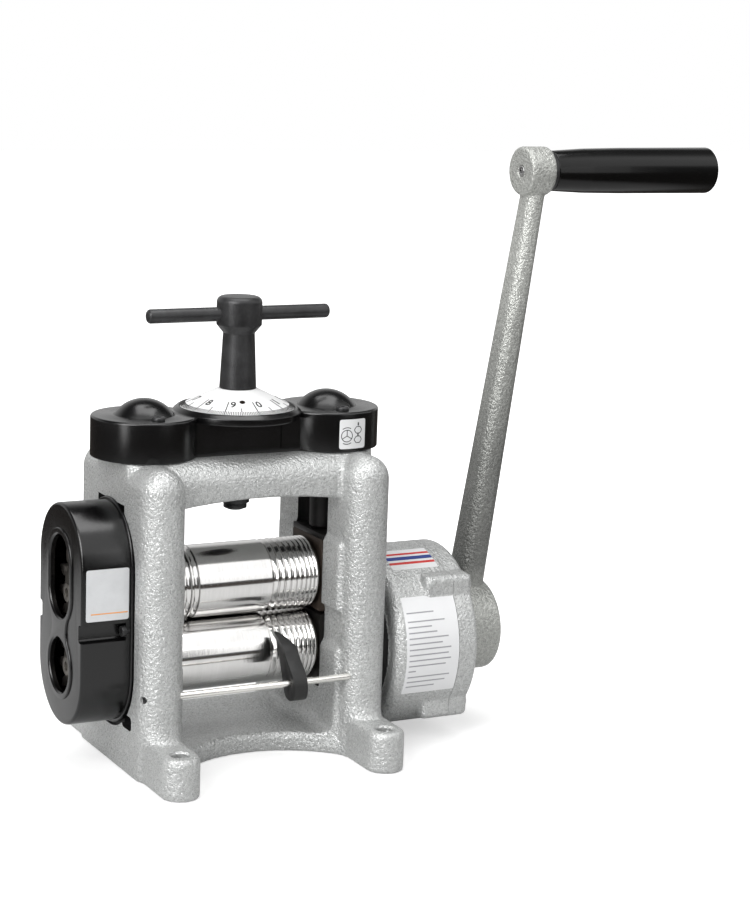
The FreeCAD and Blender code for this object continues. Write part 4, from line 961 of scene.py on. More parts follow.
def wireGrooves(sizes):
    # V grooves, each narrower than the one before, up to the right end of the face
    radius, land, soft = sizes["radius"], sizes["land"], sizes["soft"]
    widths = [sizes["widest"] - k * sizes["narrower"] for k in range(sizes["grooves"])]
    x = sizes["half"] - sizes["edge"] - sum(widths) - land * sizes["grooves"]
    out = []
    for wide in widths:
        bottom = radius - wide * sizes["steep"] + 0.1
        out += [(x, radius - soft), (x + soft, radius - 0.3), (x + wide / 2 - 0.15, bottom),
                (x + wide / 2 + 0.15, bottom), (x + wide - soft, radius - 0.3), (x + wide, radius - soft),
                (x + wide + soft, radius)]
        x += wide + land
        out.append((x - soft, radius))
    return out


def rollProfile(sizes, rightEnd, hollows):
    edge, radius, half, journal = (sizes[key] for key in ("edge", "radius", "half", "journal"))
    left, seat, seatEnd = sizes["left"], sizes["gearSeat"], sizes["seatEnd"]
    rim = [(half - edge * (1 - math.cos(a)), radius - edge + edge * math.sin(a)) for a in roundSteps]
    profile = [(left, 0), (left, seat - 0.5), (left + 0.5, seat), (seatEnd, seat),
               (seatEnd, sizes["shoulder"]), (seatEnd + 1.0, journal),
               (-half, journal), (-half, radius - edge)]
    profile += [(-x, r) for x, r in rim]
    profile += hollowGrooves(sizes) if hollows else []
    profile += wireGrooves(sizes) + rim[::-1]
    return profile + [(half, radius - edge), (half, journal), (rightEnd, journal), (rightEnd, 0)]


def makeRoll(sizes, place):
    z, rightEnd, hollows = sizes[place]
    profile = rollProfile(sizes, rightEnd, hollows)
    piece = shells(place + "-roll", [turned(profile, (0, 0, z), "X", sizes["steps"])])
    smoothFaces(piece, 28)
    fit(piece, place + "_roll", "rollSteel")


makeRoll(rollSizes, "upper")
makeRoll(rollSizes, "lower")
print("rolls done")


# bearing blocks, washers, gears and pins: softened copies of the CAD nodes

nodeFinish = {"gear_cap_lower": "gearSteel", "gear_cap_upper": "gearSteel",
              "pressure_pad_left": "padSteel", "pressure_pad_right": "padSteel", "guide_rod": "rodSteel",
              # the lower chocks take the darkened bronze: oil and painted shade
              "lower_chock_left": "oiledBronze", "lower_chock_right": "oiledBronze",
              "pressure_screw_left": "padSteel", "pressure_screw_right": "padSteel"}

nodeBevel = {
    "lower_chock_left": 0.5, "lower_chock_right": 0.5, "upper_chock_left": 0.5, "upper_chock_right": 0.5,
    "pressure_pad_left": 0.4, "pressure_pad_right": 0.4,
    "lower_thrust_washers": 0.3, "upper_thrust_washers": 0.3,
    "roll_gear_lower": 0.35, "roll_gear_upper": 0.35, "gear_cap_lower": 0.3, "gear_cap_upper": 0.3,
    "pressure_screw_left": 0.0, "pressure_screw_right": 0.0, "spindle_collar": 0.5, "spindle_nut": 0.5,
    "crank_bush": 0.3, "crank_washer": 0.4, "grip_collar": 0.4,
    "guide_rod": 0.3, "rod_plug": 0.2, "screw_bush_left": 0.0, "screw_bush_right": 0.0, "spindle_bush": 0.0,
    "centre_gear": 0.0, "idler_gear_left": 0.0, "idler_gear_right": 0.0, "screw_gear_left": 0.0,
    "screw_gear_right": 0.0, "idler_pin_left": 0.0, "idler_pin_right": 0.0, "ring_gear": 0.0,
    "sun_shaft": 0.0, "planet_carrier": 0.0, "planet_gear_1": 0.0, "planet_gear_2": 0.0,
    "planet_gear_3": 0.0, "planet_pins": 0.0,
}

for node, bevel in nodeBevel.items():
    dressNode(node, bevel, nodeFinish.get(node))
print("softened copies done")


# gear guard

guardSizes = {"radius": 41.4, "low": 72.4, "high": 145.0, "face": -130.0, "back": -91.5, "flangeRadius": 43.2,
              "flange": 3.5, "wall": 3.0, "edge": 2.2, "eye": 19.1, "eyeLow": 72.6, "slotLow": 125.4,
              "slotHigh": 145.5, "bead": 23.8, "beadPinch": 13.4, "beadRise": 1.2,
              "wellZ": 103.7, "wellHalf": 6.2, "wellDeep": 6.0, "wellEdge": 2.4, "wellFloor": 6.5,
              "screwY": 39.5, "screwBore": 2.2,
              "notchY": (-39.5, -28.0), "notchZ": (28.0, 42.0), "notchEdge": 4.0, "notchDeep": 7.0,
              "label": ((-127.0, -96.2), (112.6, 148.4)), "labelEdge": 1.6,
              "stripe": ((-123.5, -97.0), (117.3, 118.1))}


def guardSpot(x, z, lift):
    # on the guard's side, and round its upper end
    over = max(0.0, z - guardSizes["high"])
    return (x, -math.sqrt((guardSizes["radius"] + lift) ** 2 - over ** 2), z)


def eightOutline(radius, pinch, sizes, steps=28):
    # the outline round both openings, drawn in to half width pinch between them
    low, high, top = sizes["eyeLow"], sizes["slotLow"], sizes["slotHigh"]
    waist, reach = (low + high) / 2, (high - low) / 2
    fillet = (reach ** 2 + pinch ** 2 - radius ** 2) / (2 * (radius - pinch))
    touch = math.atan2(reach, pinch + fillet)
    lower, neck, upper = [], [], []
    for k in range(steps + 1):
        angle = -math.pi / 2 + (math.pi / 2 + touch) * k / steps
        lower.append((radius * math.cos(angle), low + radius * math.sin(angle)))
        angle = math.pi - touch + 2 * touch * k / steps
        neck.append((pinch + fillet + fillet * math.cos(angle), waist + fillet * math.sin(angle)))
        angle = -touch + (math.pi / 2 + touch) * k / steps
        upper.append((radius * math.cos(angle), (high if angle < 0 else top) + radius * math.sin(angle)))
    half = lower + neck[::-1][1:-1] + upper
    return half + [(-y, z) for y, z in reversed(half)][1:-1]


def guardRoom(sizes):
    # the hollow inside, without the walls round the two screw wells
    face, back, wall = sizes["face"], sizes["back"], sizes["wall"]
    room, z, rise = sizes["radius"] - wall, sizes["wellZ"], sizes["wellHalf"] + wall
    inside = stadium(room, sizes["low"], sizes["high"], 40)
    hollow = shells("room", [prismX(inside, face + wall, back + 2)])
    for side in (-1, 1):
        y0, y1 = sorted((side * (room - sizes["wellDeep"]), side * (sizes["radius"] + 4)))
        carve(hollow, shells("keep", [block((face - 5, y0, z - rise), (back + 5, y1, z + rise))]))
    return hollow


def guardCuts(sizes):
    face, back, z, half = (sizes[key] for key in ("face", "back", "wellZ", "wellHalf"))
    wall = sizes["radius"] - sizes["wellDeep"]
    well = rounded([(wall, z - half, sizes["wellEdge"]), (wall + 20, z - half), (wall + 20, z + half),
                    (wall, z + half, sizes["wellEdge"])], 6)
    cuts = []
    for side in (-1, 1):
        cuts.append(prismX([(side * y, q) for y, q in well], face - 4, back - sizes["wellFloor"]))
        cuts.append(drill(-110, -80, sizes["screwBore"], (0, side * sizes["screwY"], z), "X", 24))
    rim = face - sizes["beadRise"]
    mouth = [(face - 5, -3.0), (rim - 0.01, -1.2), (rim + 0.5, -0.5), (rim + 1.2, 0.0), (face + 5, 0.0)]
    for low, high in ((sizes["slotLow"], sizes["slotHigh"]), (sizes["eyeLow"], sizes["eyeLow"] + 0.01)):
        cuts.append(skin([atX(stadium(sizes["eye"] - inset, low, high, 40), x) for x, inset in mouth]))
    (y0, y1), (z0, z1) = sizes["notchY"], sizes["notchZ"]
    notch = rounded([(y0, z0), (y1, z0), (y1, z1, sizes["notchEdge"]), (y0, z1, sizes["notchEdge"])], 4)
    cuts.append(prismX(notch, back - sizes["notchDeep"], back + 2))
    return cuts


def makeGuard(sizes):
    face, back, low, high = (sizes[key] for key in ("face", "back", "low", "high"))
    piece = shells("gear-guard", [plateX(lambda inset: stadium(sizes["radius"] - inset, low, high, 48),
                                         edgeLayers(back, face, sizes["edge"], 6))], "blackPaint")
    flange = plateX(lambda inset: stadium(sizes["flangeRadius"] - inset, low, high, 48),
                    edgeLayers(back, back - sizes["flange"], 1.0, 4))
    carve(piece, shells("flange", [flange]), "UNION")
    bead = plateX(lambda inset: eightOutline(sizes["bead"] - inset, sizes["beadPinch"] - inset, sizes),
                  edgeLayers(face + 1, face - sizes["beadRise"], 1.0, 5))
    carve(piece, shells("bead", [bead]), "UNION")
    carve(piece, guardRoom(sizes))
    cutAway(piece, guardCuts(sizes))
    smoothFaces(piece, 30)
    fit(piece, "gear_guard", "blackPaint")
    film = patch(guardSpot, *sizes["label"], 1.0, sizes["labelEdge"])
    stripe = patch(guardSpot, *sizes["stripe"], 1.0, lift=0.17)
    printed("guard-label", [("labelSilver", [film]), ("bandOrange", [stripe])])


makeGuard(guardSizes)
print("gear guard done")


# top cover

coverSizes = {"padX": 70.0, "radius": 37.0, "low": 216.5, "top": 244.8, "foot": 0.6, "edge": 1.8,
              "waist": 21.0, "brim": 45.0, "brimLow": 240.0, "rim": 247.7, "rimOuter": 42.6, "rimInner": 40.6,
              "dome": 20.9, "domeHigh": 11.2, "lobeRoom": 34.8, "wall": 3.0, "screwRoom": 11.0,
              "trainX": 70.0, "trainY": 18.8, "trainTop": 235.2, "bore": 8.6,
              "panelX": 25.0, "panelZ": (219.0, 238.2), "panelEdge": 1.2, "panelFace": -20.2,
              # the printed label, in degrees round the right lobe and millimetres up
              "label": ((-11.6, 21.3), (219.0, 240.0)), "labelEdge": 1.6, "lineWidth": 0.55,
              "wheel": (-2.8, 228.3), "wheelRadius": 4.2, "wheelArrows": 5.9,
              "rollerAt": 11.0, "rollerZ": (232.2, 225.4),
              "tickZ": ((237.6, 235.2), (230.0, 227.6)), "tickWidth": 1.1,
              "indexAt": (-2.0, 10.0)}


def lobeSpot(angle, z, lift):
    # on the cover's right lobe: angle in degrees from the front, towards +X
    turn = math.radians(angle)
    radius = coverSizes["radius"] + lift
    return (coverSizes["padX"] + radius * math.sin(turn), -radius * math.cos(turn), z)


def rimSpot(angle, z, lift):
    # on the rim round the dial: angle in degrees from the front
    turn = math.radians(angle)
    radius = coverSizes["rimOuter"] - 0.5 + lift
    return (radius * math.sin(turn), -radius * math.cos(turn), z)


def coverDome(sizes):
    # the round cap over a pressure screw, with a small step at its foot
    top, dome, high = sizes["top"], sizes["dome"], sizes["domeHigh"]
    ball = (dome ** 2 + high ** 2) / (2 * high)
    rise = math.asin(dome / ball)
    profile = [(top - 1, 0), (top - 1, dome + 0.9), (top, dome + 0.9), (top + 0.25, dome + 0.3)]
    for k in range(15):
        angle = rise * (1 - k / 14)
        profile.append((top + high - ball + ball * math.cos(angle), ball * math.sin(angle)))
    profile[-1] = (profile[-1][0], 0)
    return profile


def coverCuts(sizes):
    low, top, wall = sizes["low"], sizes["top"], sizes["wall"]
    lobes = [(side * sizes["padX"], 0, 0) for side in (-1, 1)]
    cuts = [drill(low - 2, top - wall, sizes["lobeRoom"], lobe, "Z", 96) for lobe in lobes]
    cuts += [drill(top - 4, top + sizes["domeHigh"] - 3.5, sizes["screwRoom"], lobe, "Z") for lobe in lobes]
    x, y = sizes["trainX"], sizes["trainY"]
    cuts.append(block((-x, -y, low - 2), (x, y, sizes["trainTop"])))
    cuts.append(drill(low, 260, sizes["bore"], (0, 0, 0), "Z"))
    x, edge, (z0, z1) = sizes["panelX"], sizes["panelEdge"], sizes["panelZ"]
    panel = rounded([(-x, z0, edge), (x, z0, edge), (x, z1, edge), (-x, z1, edge)], 4)
    cuts.append(skin([[(a, y, b) for a, b in panel] for y in (-22, sizes["panelFace"])]))
    return cuts


def coverMarks(sizes, perDegree):
    # a wheel between two arcs, and two rollers with a tick each
    plain = sizes["lineWidth"]
    line = lambda path, loop=False, width=plain: ribbon(lobeSpot, path, perDegree, width, loop)
    wheel, radius = sizes["wheel"], sizes["wheelRadius"]
    marks = [line(arcPath(wheel, radius, perDegree), True)]
    for turn in (90, 210, 330):
        spoke = arcPath(wheel, radius - 0.1, perDegree, turn, turn + 1, 1)[0]
        marks.append(line([spoke, wheel]))
    for start, stop in ((60, 125), (240, 305)):
        marks.append(line(arcPath(wheel, sizes["wheelArrows"], perDegree, start, stop, 12)))
    lozenge = rounded([(a, b, 0.8) for a, b in ((-3.3, 0), (-1.6, 2.3), (1.6, 2.3), (3.3, 0), (1.6, -2.3),
                                                (-1.6, -2.3))], 4)
    for z in sizes["rollerZ"]:
        marks.append(line([(sizes["rollerAt"] + a / perDegree, z + b) for a, b in lozenge], True))
    for high, low in sizes["tickZ"]:
        marks.append(line([(sizes["rollerAt"], high), (sizes["rollerAt"], low)], width=sizes["tickWidth"]))
    return marks


def makeCover(sizes):
    low, top, rim = sizes["low"], sizes["top"], sizes["rim"]
    x, y = sizes["padX"], sizes["waist"]
    piece = shells("top-cover", [prismZ([(-x, -y), (x, -y), (x, y), (-x, y)], low, top - 0.6)], "blackPaint")
    lobe = rounded([(low, 0), (low, sizes["radius"], sizes["foot"]), (top, sizes["radius"], sizes["edge"]),
                    (top, 0)], 6, False)
    for name, profile, steps in (("lobe", lobe, 160), ("dome", coverDome(sizes), 128)):
        for side in (-1, 1):
            carve(piece, shells(name, [turned(profile, (side * x, 0, 0), "Z", steps)]), "UNION")
    inner = sizes["rimInner"]
    brim = rounded([(sizes["brimLow"], 0), (sizes["brimLow"], sizes["brim"], 1.0), (top, sizes["brim"], 0.8),
                    (rim - 0.8, sizes["rimOuter"], 0.6), (rim, inner + 0.7, 0.4), (rim - 0.5, inner, 0.3),
                    (top - 2, inner), (top - 2, 0)], 5, False)
    carve(piece, shells("brim", [turned(brim, (0, 0, 0), "Z", 192)]), "UNION")
    cutAway(piece, coverCuts(sizes))
    smoothFaces(piece, 30)
    fit(piece, "top_cover", "blackPaint")
    perDegree = sizes["radius"] * math.pi / 180     # millimetres of lobe for one degree
    film = patch(lobeSpot, *sizes["label"], perDegree, sizes["labelEdge"])
    printed("cover-label", [("labelWhite", [film]), ("inkBlack", coverMarks(sizes, perDegree))])
    index = patch(rimSpot, sizes["indexAt"], (rim - 0.7, rim - 0.05), 42 * math.pi / 180, lift=0.1, sink=1.4)
    printed("index-mark", [("gripBlack", [index])])


makeCover(coverSizes)
print("top cover done")


# dial

dialSizes = {"radius": 40.0, "edge": 247.4, "neck": 13.9, "top": 260.0, "floor": 243.6, "bore": 8.0,
             "screwRadius": 26.0, "screwAt": -17.0, "hole": 2.1, "socket": 1.0,
             "zeroAt": -1.5, "figureTurn": 7.3, "figureRadius": 29.0, "figureHigh": 6.1, "figureBold": 0.018,
             # name, marks, degrees between them, first one, inner end, width
             "rows": (("fine-marks", 200, 1.8, -1.5, 36.3, 0.5), ("half-marks", 10, 36.0, 16.5, 32.8, 0.62),
                      ("long-marks", 10, 36.0, -1.5, 26.3, 0.72)), "markThick": 0.24}


def conePoint(sizes, radius, angle, lift=0.0):
    # a point on the dial's face; angle 0 faces the front
    slope = (sizes["top"] - sizes["edge"]) / (sizes["radius"] - sizes["neck"])
    z = sizes["edge"] + slope * (sizes["radius"] - radius)
    tilt = math.atan(slope)
    out = radius + lift * math.sin(tilt)
    return (out * math.sin(angle), -out * math.cos(angle), z + lift * math.cos(tilt))


def flatFigure(figure, bold):
    data = bpy.data.curves.new("figure", "FONT")
    data.body = str(figure)
    data.size = 1.0
    data.resolution_u = 5
    data.offset = bold
    text = bpy.data.objects.new("figure", data)
    bpy.context.scene.collection.objects.link(text)
    graph = bpy.context.evaluated_depsgraph_get()
    flat = bpy.data.meshes.new_from_object(text.evaluated_get(graph), depsgraph=graph)
    bpy.data.objects.remove(text)
    return flat


def dialFigures(sizes):
    # ten figures round the cone, their heads towards the handle
    figures = []
    for figure in range(10):
        flat = flatFigure(figure, sizes["figureBold"])
        xs, ys = [v.co.x for v in flat.vertices], [v.co.y for v in flat.vertices]
        scale = sizes["figureHigh"] / (max(ys) - min(ys))
        middle = (max(xs) + min(xs)) / 2, (max(ys) + min(ys)) / 2
        turn = math.radians(sizes["zeroAt"] + 36.0 * figure + sizes["figureTurn"])
        made = bmesh.new()
        made.from_mesh(flat)
        bmesh.ops.remove_doubles(made, verts=made.verts, dist=1e-5)
        bmesh.ops.triangulate(made, faces=made.faces)
        longEdges = [e for e in made.edges if e.calc_length() * scale > 0.8]
        bmesh.ops.subdivide_edges(made, edges=longEdges, cuts=1)
        grown = bmesh.ops.extrude_face_region(made, geom=made.faces[:])
        raised = {g for g in grown["geom"] if isinstance(g, bmesh.types.BMVert)}
        for v in made.verts:
            across, inward = ((v.co[k] - middle[k]) * scale for k in (0, 1))
            radius = sizes["figureRadius"] - inward
            v.co = Vector(conePoint(sizes, radius, turn + across / sizes["figureRadius"],
                                    0.12 if v in raised else -0.3)) * mm
        bmesh.ops.recalc_face_normals(made, faces=made.faces)
        made.to_mesh(flat)
        made.free()
        figures.append(flat)
    return figures


def dialRows(sizes):
    # the three rows of marks that reach in from the rim
    slope = math.atan((sizes["top"] - sizes["edge"]) / (sizes["radius"] - sizes["neck"]))
    start = sizes["radius"] - 0.1
    rows = []
    for name, count, step, first, stop, width in sizes["rows"]:
        middle = Vector(conePoint(sizes, (start + stop) / 2, 0))
        rows.append(ringRow(name, {"Width": width * mm, "Length": (start - stop) / math.cos(slope) * mm,
                                   "Thickness": sizes["markThick"] * mm, "Out": -middle.y * mm,
                                   "Height": middle.z * mm, "Slope": slope, "Count": count,
                                   "Step": math.radians(step), "First": math.radians(first),
                                   "Finish": finishes["inkBlack"]}))
    return rows


def makeDial(sizes):
    floor, edge, top, bore = (sizes[key] for key in ("floor", "edge", "top", "bore"))
    profile = rounded([(floor, bore), (floor, sizes["radius"], 0.3), (edge, sizes["radius"], 0.5),
                       (top, sizes["neck"], 0.5), (top, bore)], 5)
    piece = shells("dial", [turned(profile, (0, 0, 0), "Z", 160, True)], "dialWhite")
    hole, socket = sizes["hole"], sizes["socket"]
    level = lambda lift: Vector(conePoint(sizes, sizes["screwRadius"], math.radians(sizes["screwAt"]), lift))
    above, deep, mouth, seat = (level(lift) for lift in (2, -4, -0.15, -1.4))
    axis = (above - deep).normalized()
    side = axis.cross(Vector((0, 0, 1))).normalized()
    other = axis.cross(side)
    ring = lambda centre, radius: [tuple(centre + side * a + other * b) for a, b in circle(radius, 24)]
    carve(piece, shells("hole", [skin([ring(deep, hole), ring(above, hole)])]))
    smoothFaces(piece, 30)
    fit(piece, "dial", "dialWhite")
    plug = shells("dial-grub-screw", [skin([ring(deep, hole), ring(mouth, hole), ring(mouth, hole - 0.25),
                                            ring(seat, hole - 0.4), ring(seat, socket),
                                            ring(seat - axis * 1.4, socket - 0.1)])])
    smoothFaces(plug, 30)
    fit(plug, [], "bronze", "handle")
    made = bmesh.new()
    for row in dialRows(sizes):
        made.from_mesh(row.data)
        bpy.data.objects.remove(row)
    for flat in dialFigures(sizes):
        made.from_mesh(flat)
    mesh = bpy.data.meshes.new("dial-scale")
    made.to_mesh(mesh)
    made.free()
    fit(smoothFaces(newObject("dial-scale", mesh), 30), [], "inkBlack", "handle")


makeDial(dialSizes)
print("dial done")


# T handle

handleSizes = {"shaft": 8.0, "low": 173.5, "seat": 260.0, "thread": 6.0, "threadTop": 189.0, "foot": 1.5,
               "base": 12.9, "neck": 11.1, "neckZ": 299.0, "hub": 15.9, "hubZ": 304.8, "top": 324.6,
               "barZ": 312.3, "bar": 5.0, "barHalf": 69.0, "barEnd": 2.6}


def makeHandle(sizes):
    low, seat, top, bar, half = (sizes[key] for key in ("low", "seat", "top", "bar", "barHalf"))
    shaft, base, hub, neck = (sizes[key] for key in ("shaft", "base", "hub", "threadTop"))
    profile = rounded([(low, 0), (low, sizes["thread"], 0.8), (neck, sizes["thread"]), (neck, shaft),
                       (seat, shaft), (seat, base, 0.4), (seat + sizes["foot"], base, 0.5),
                       (sizes["neckZ"], sizes["neck"], 0.8), (sizes["hubZ"], hub, 1.4), (top, hub, 4.2),
                       (top, 0)], 8, False)
    piece = shells("handle-spindle", [turned(profile, (0, 0, 0), "Z", 128)], "blackSteel")
    axis = (0, 0, sizes["barZ"])
    cutAway(piece, [drill(-30, 30, bar, axis, "X", 64)])
    smoothFaces(piece, 32)
    fit(piece, "handle_spindle", "blackSteel")
    end = sizes["barEnd"]
    profile = rounded([(-half, 0), (-half, bar, end), (half, bar, end), (half, 0)], 8, False)
    piece = shells("t-bar", [turned(profile, axis, "X", 64)], "blackSteel")
    smoothFaces(piece, 40)
    fit(piece, "t_bar", "blackSteel")


makeHandle(handleSizes)
print("T handle done")


# reduction gear drum

drumSizes = {"z": 71.0, "radius": 66.0, "neck": 52.0, "neckX": 93.5, "left": 100.0, "split": 150.0,
             "joint": 0.15, "right": 166.0, "edge": 8.0, "capEdge": 3.5,
             "lugReach": 53.4, "lugEdge": 5.0, "lugSoft": 4.0,
             "lugAt": 44.0, "lugLong": 22.0, "bore": 58.5, "boreX": 106.0, "journal": 24.0,
             "capRoom": 42.0, "capRoomX": 153.0, "capBore": 20.0, "screwSeat": 163.0, "screwRoom": 4.9,
             "grain": 1.0, "softening": 5, "keep": 0.6,
             # the printed sheet and its ruled lines: place along X, and angle up from the front
             "sheetX": (107.0, 149.6), "sheetFrom": -26.3, "sheetTo": 37.4, "ruleX": 109.0, "ruleHalf": 0.42,
             "rules": ((27.0, 131.0), (21.5, 139.0), (18.0, 128.0), (14.5, 132.0), (11.0, 141.0),
                       (7.5, 136.0), (4.0, 143.0), (0.5, 141.0), (-3.0, 143.0), (-6.5, 139.0),
                       (-10.0, 115.0), (-14.0, 143.0), (-17.5, 140.0), (-21.0, 132.0)),
             "bandX": (110.0, 147.0), "bandFilm": (58.0, 78.8),
             "bands": ((62.5, 64.6), (66.7, 70.1), (72.2, 74.3))}


def drumSpot(along, angle, lift):
    # on the drum: along X, angle in degrees up from the front
    turn = math.radians(angle)
    radius = drumSizes["radius"] + lift
    return (along, -radius * math.cos(turn), drumSizes["z"] + radius * math.sin(turn))


def fourPlaces(x, y, z):
    # round the drum's axis, y to the front and rear of it and z above and below
    return [(x, sy * y, drumSizes["z"] + sz * z) for sy in (-1, 1) for sz in (-1, 1)]


def lugBlock(sizes, layers):
    # a square block round the axis whose corners stand out of the drum; layers are (x, inset)
    rings = []
    for x, inset in layers:
        reach, edge = sizes["lugReach"] - inset, max(sizes["lugEdge"] - inset, 0.6)
        square = [(sy * reach, sizes["z"] + sz * reach, edge)
                  for sy, sz in ((-1, -1), (1, -1), (1, 1), (-1, 1))]
        rings.append(atX(rounded(square, 8), x))
    return skin(rings)


def drumPiece(name, sizes, profile, lugLayers, cuts):
    # one half of the drum, cast with its four lugs
    shell = turned(rounded(profile, 8, False), (0, 0, sizes["z"]), "X", 160)
    piece = shells(name, [shell, lugBlock(sizes, lugLayers)])
    castSkin(piece, sizes["grain"], sizes["softening"], sizes["keep"])
    cutAway(piece, cuts)
    smoothFaces(piece, 30)
    fit(piece, name.replace("-", "_"), "castPaint")
    return piece


def makeDrum(sizes):
    axis, radius, neck, right = (0, 0, sizes["z"]), sizes["radius"], sizes["neck"], sizes["right"]
    # all of the drum between two places
    cheeks = lambda low, high: block((low, -90, -20), (high, 90, 160))
    stop = sizes["split"] - sizes["joint"]
    root = sizes["neckX"] - 3
    body = [(root, 0), (root, neck), (sizes["left"], neck), (sizes["left"], radius, sizes["edge"]),
            (stop + 3, radius), (stop + 3, 0)]
    lugs = edgeLayers(stop + 3, sizes["split"] - sizes["lugLong"], sizes["lugSoft"])
    cuts = [cheeks(stop, stop + 10), cheeks(60, sizes["neckX"]),
            drill(sizes["boreX"], stop + 5, sizes["bore"], axis, "X", 128),
            drill(80, 110, sizes["journal"], axis, "X", 64)]
    piece = drumPiece("gearbox-housing", sizes, body, lugs, cuts)
    # the neck faces take the near-black material: a painted shadow where the column shades the drum
    piece.data.materials.append(finishes["slotDark"])
    for face in piece.data.polygons:
        face.material_index = 1 if face.center.x < (sizes["left"] - 1) * mm else 0
    start = sizes["split"] + sizes["joint"]
    plate = [(start - 3, 0), (start - 3, radius), (right, radius, sizes["capEdge"]), (right, 0)]
    cuts = [cheeks(start - 10, start), drill(140, sizes["capRoomX"], sizes["capRoom"], axis, "X", 96),
            drill(140, 180, sizes["capBore"], axis, "X", 96)]
    cuts += [drill(sizes["screwSeat"], 180, sizes["screwRoom"], place, "X", 32)
             for place in fourPlaces(0, sizes["lugAt"], sizes["lugAt"])]
    drumPiece("gearbox-cap", sizes, plate, edgeLayers(start - 3, right, sizes["capEdge"]), cuts)


def labelDrum(sizes):
    low, high = sizes["sheetFrom"], sizes["sheetTo"]
    sheet = strip(drumSpot, sizes["sheetX"], [low + (high - low) * k / 40 for k in range(41)], 0.14, 0.3)
    half = sizes["ruleHalf"]
    rules = [strip(drumSpot, (sizes["ruleX"], end), (angle - half, angle + half), 0.19, 0.1)
             for angle, end in sizes["rules"]]
    printed("drum-label", [("labelWhite", [sheet]), ("labelGrey", rules)])
    bands = []
    for k, (low, high) in enumerate((sizes["bandFilm"],) + sizes["bands"]):
        bands.append(strip(drumSpot, sizes["bandX"], [low + (high - low) * j / 12 for j in range(13)],
                           0.18 if k else 0.13, 0.3))
    film, lower, middle, upper = bands
    printed("drum-bands", [("labelWhite", [film]), ("bandRed", [lower, upper]), ("bandBlue", [middle])])


makeDrum(drumSizes)
labelDrum(drumSizes)
print("reduction gear drum done")


# crank

crankSizes = {"hub": 34.0, "hubX": 168.0, "hubLong": 37.0, "hubEdge": 2.5, "z": 71.0, "length": 339.3,
              "lean": 47.7, "baseOut": 1.3, "tipOut": 2.1, "start": 12.0, "stop": 6.0,
              # the arm's section at each end: width along X, depth, corner
              "base": (24.0, 29.0, 10.5), "tip": (14.0, 20.0, 6.4),
              "boss": 17.9, "bossLong": 21.0, "bossEdge": 1.6, "bore": 12.5, "thread": 3.8, "socket": 2.6,
              "grain": 1.0, "softening": 6, "keep": 0.8}


def crankArm(sizes, middle):
    # the arm leans outwards and tapers from hub to boss
    rings = []
    for k in range(24):
        blend = k / 23
        along = sizes["start"] + (sizes["length"] - sizes["stop"] - sizes["start"]) * blend
        wide, deep, corner = (a + (b - a) * blend for a, b in zip(sizes["base"], sizes["tip"]))
        x = middle + sizes["baseOut"] + (sizes["lean"] + sizes["tipOut"] - sizes["baseOut"]) * blend
        section = [(sx * wide / 2, sy * deep / 2, corner) for sx, sy in ((-1, -1), (1, -1), (1, 1), (-1, 1))]
        rings.append([(x + a, b, sizes["z"] + along) for a, b in rounded(section, 8)])
    return skin(rings)


def makeCrank(sizes):
    hubX, hubEnd, thread = sizes["hubX"], sizes["hubX"] + sizes["hubLong"], sizes["thread"]
    middle = hubX + sizes["hubLong"] / 2
    bossX = middle + sizes["lean"] - sizes["bossLong"] / 2
    bossEnd = bossX + sizes["bossLong"]
    low, high = (0, 0, sizes["z"]), (0, 0, sizes["z"] + sizes["length"])
    hub = rounded([(hubX, 0), (hubX, sizes["hub"], sizes["hubEdge"]),
                   (hubEnd, sizes["hub"], sizes["hubEdge"]), (hubEnd, 0)], 6, False)
    boss = rounded([(bossX, 0), (bossX, sizes["boss"], sizes["bossEdge"]),
                    (bossEnd, sizes["boss"], sizes["bossEdge"]), (bossEnd, 0)], 6, False)
    piece = shells("crank-arm", [turned(hub, low, "X", 96), turned(boss, high, "X", 72),
                                 crankArm(sizes, middle)])
    castSkin(piece, sizes["grain"], sizes["softening"], sizes["keep"])
    socket = [(bossX - 2, 0), (bossX - 2, thread + sizes["socket"]), (bossX + 0.6, thread + 1.0),
              (bossX + 1.6, thread), (bossX + 40, thread), (bossX + 40, 0)]
    cutAway(piece, [drill(150, 220, sizes["bore"], low, "X", 64), turned(socket, high, "X", 48)])
    smoothFaces(piece, 30)
    # the arm takes the shaded copy of the frame's paint: painted shade
    fit(piece, "crank_arm", "armPaint")


makeCrank(crankSizes)
print("crank done")


# grip

gripSizes = {"x": 248.6, "length": 141.1, "z": 410.3, "bore": 5.05, "end": 17.35, "endEdge": 2.4,
             "room": 10.0, "roomDeep": 8.0,
             # the barrel's outline: distance from the boss, radius, rounding
             "barrel": ((0.0, 14.75, 0.7), (10.0, 15.35, 0), (28.0, 16.35, 30), (60.0, 16.95, 40))}


def makeGrip(sizes):
    x, end, room, bore = sizes["x"], sizes["x"] + sizes["length"], sizes["room"], sizes["bore"]
    profile = [(x, bore)] + [(x + along, radius, edge) for along, radius, edge in sizes["barrel"]]
    profile += [(end, sizes["end"], sizes["endEdge"]), (end, room, 0.6), (end - sizes["roomDeep"], room),
                (end - sizes["roomDeep"], bore)]
    piece = shells("grip", [turned(rounded(profile, 8), (0, 0, sizes["z"]), "X", 128, True)], "gripBlack")
    smoothFaces(piece, 30)
    fit(piece, "grip", "gripBlack")


makeGrip(gripSizes)
dressNode("wire_guide", 0.5)
print("grip and wire guide done")


# screws and springs

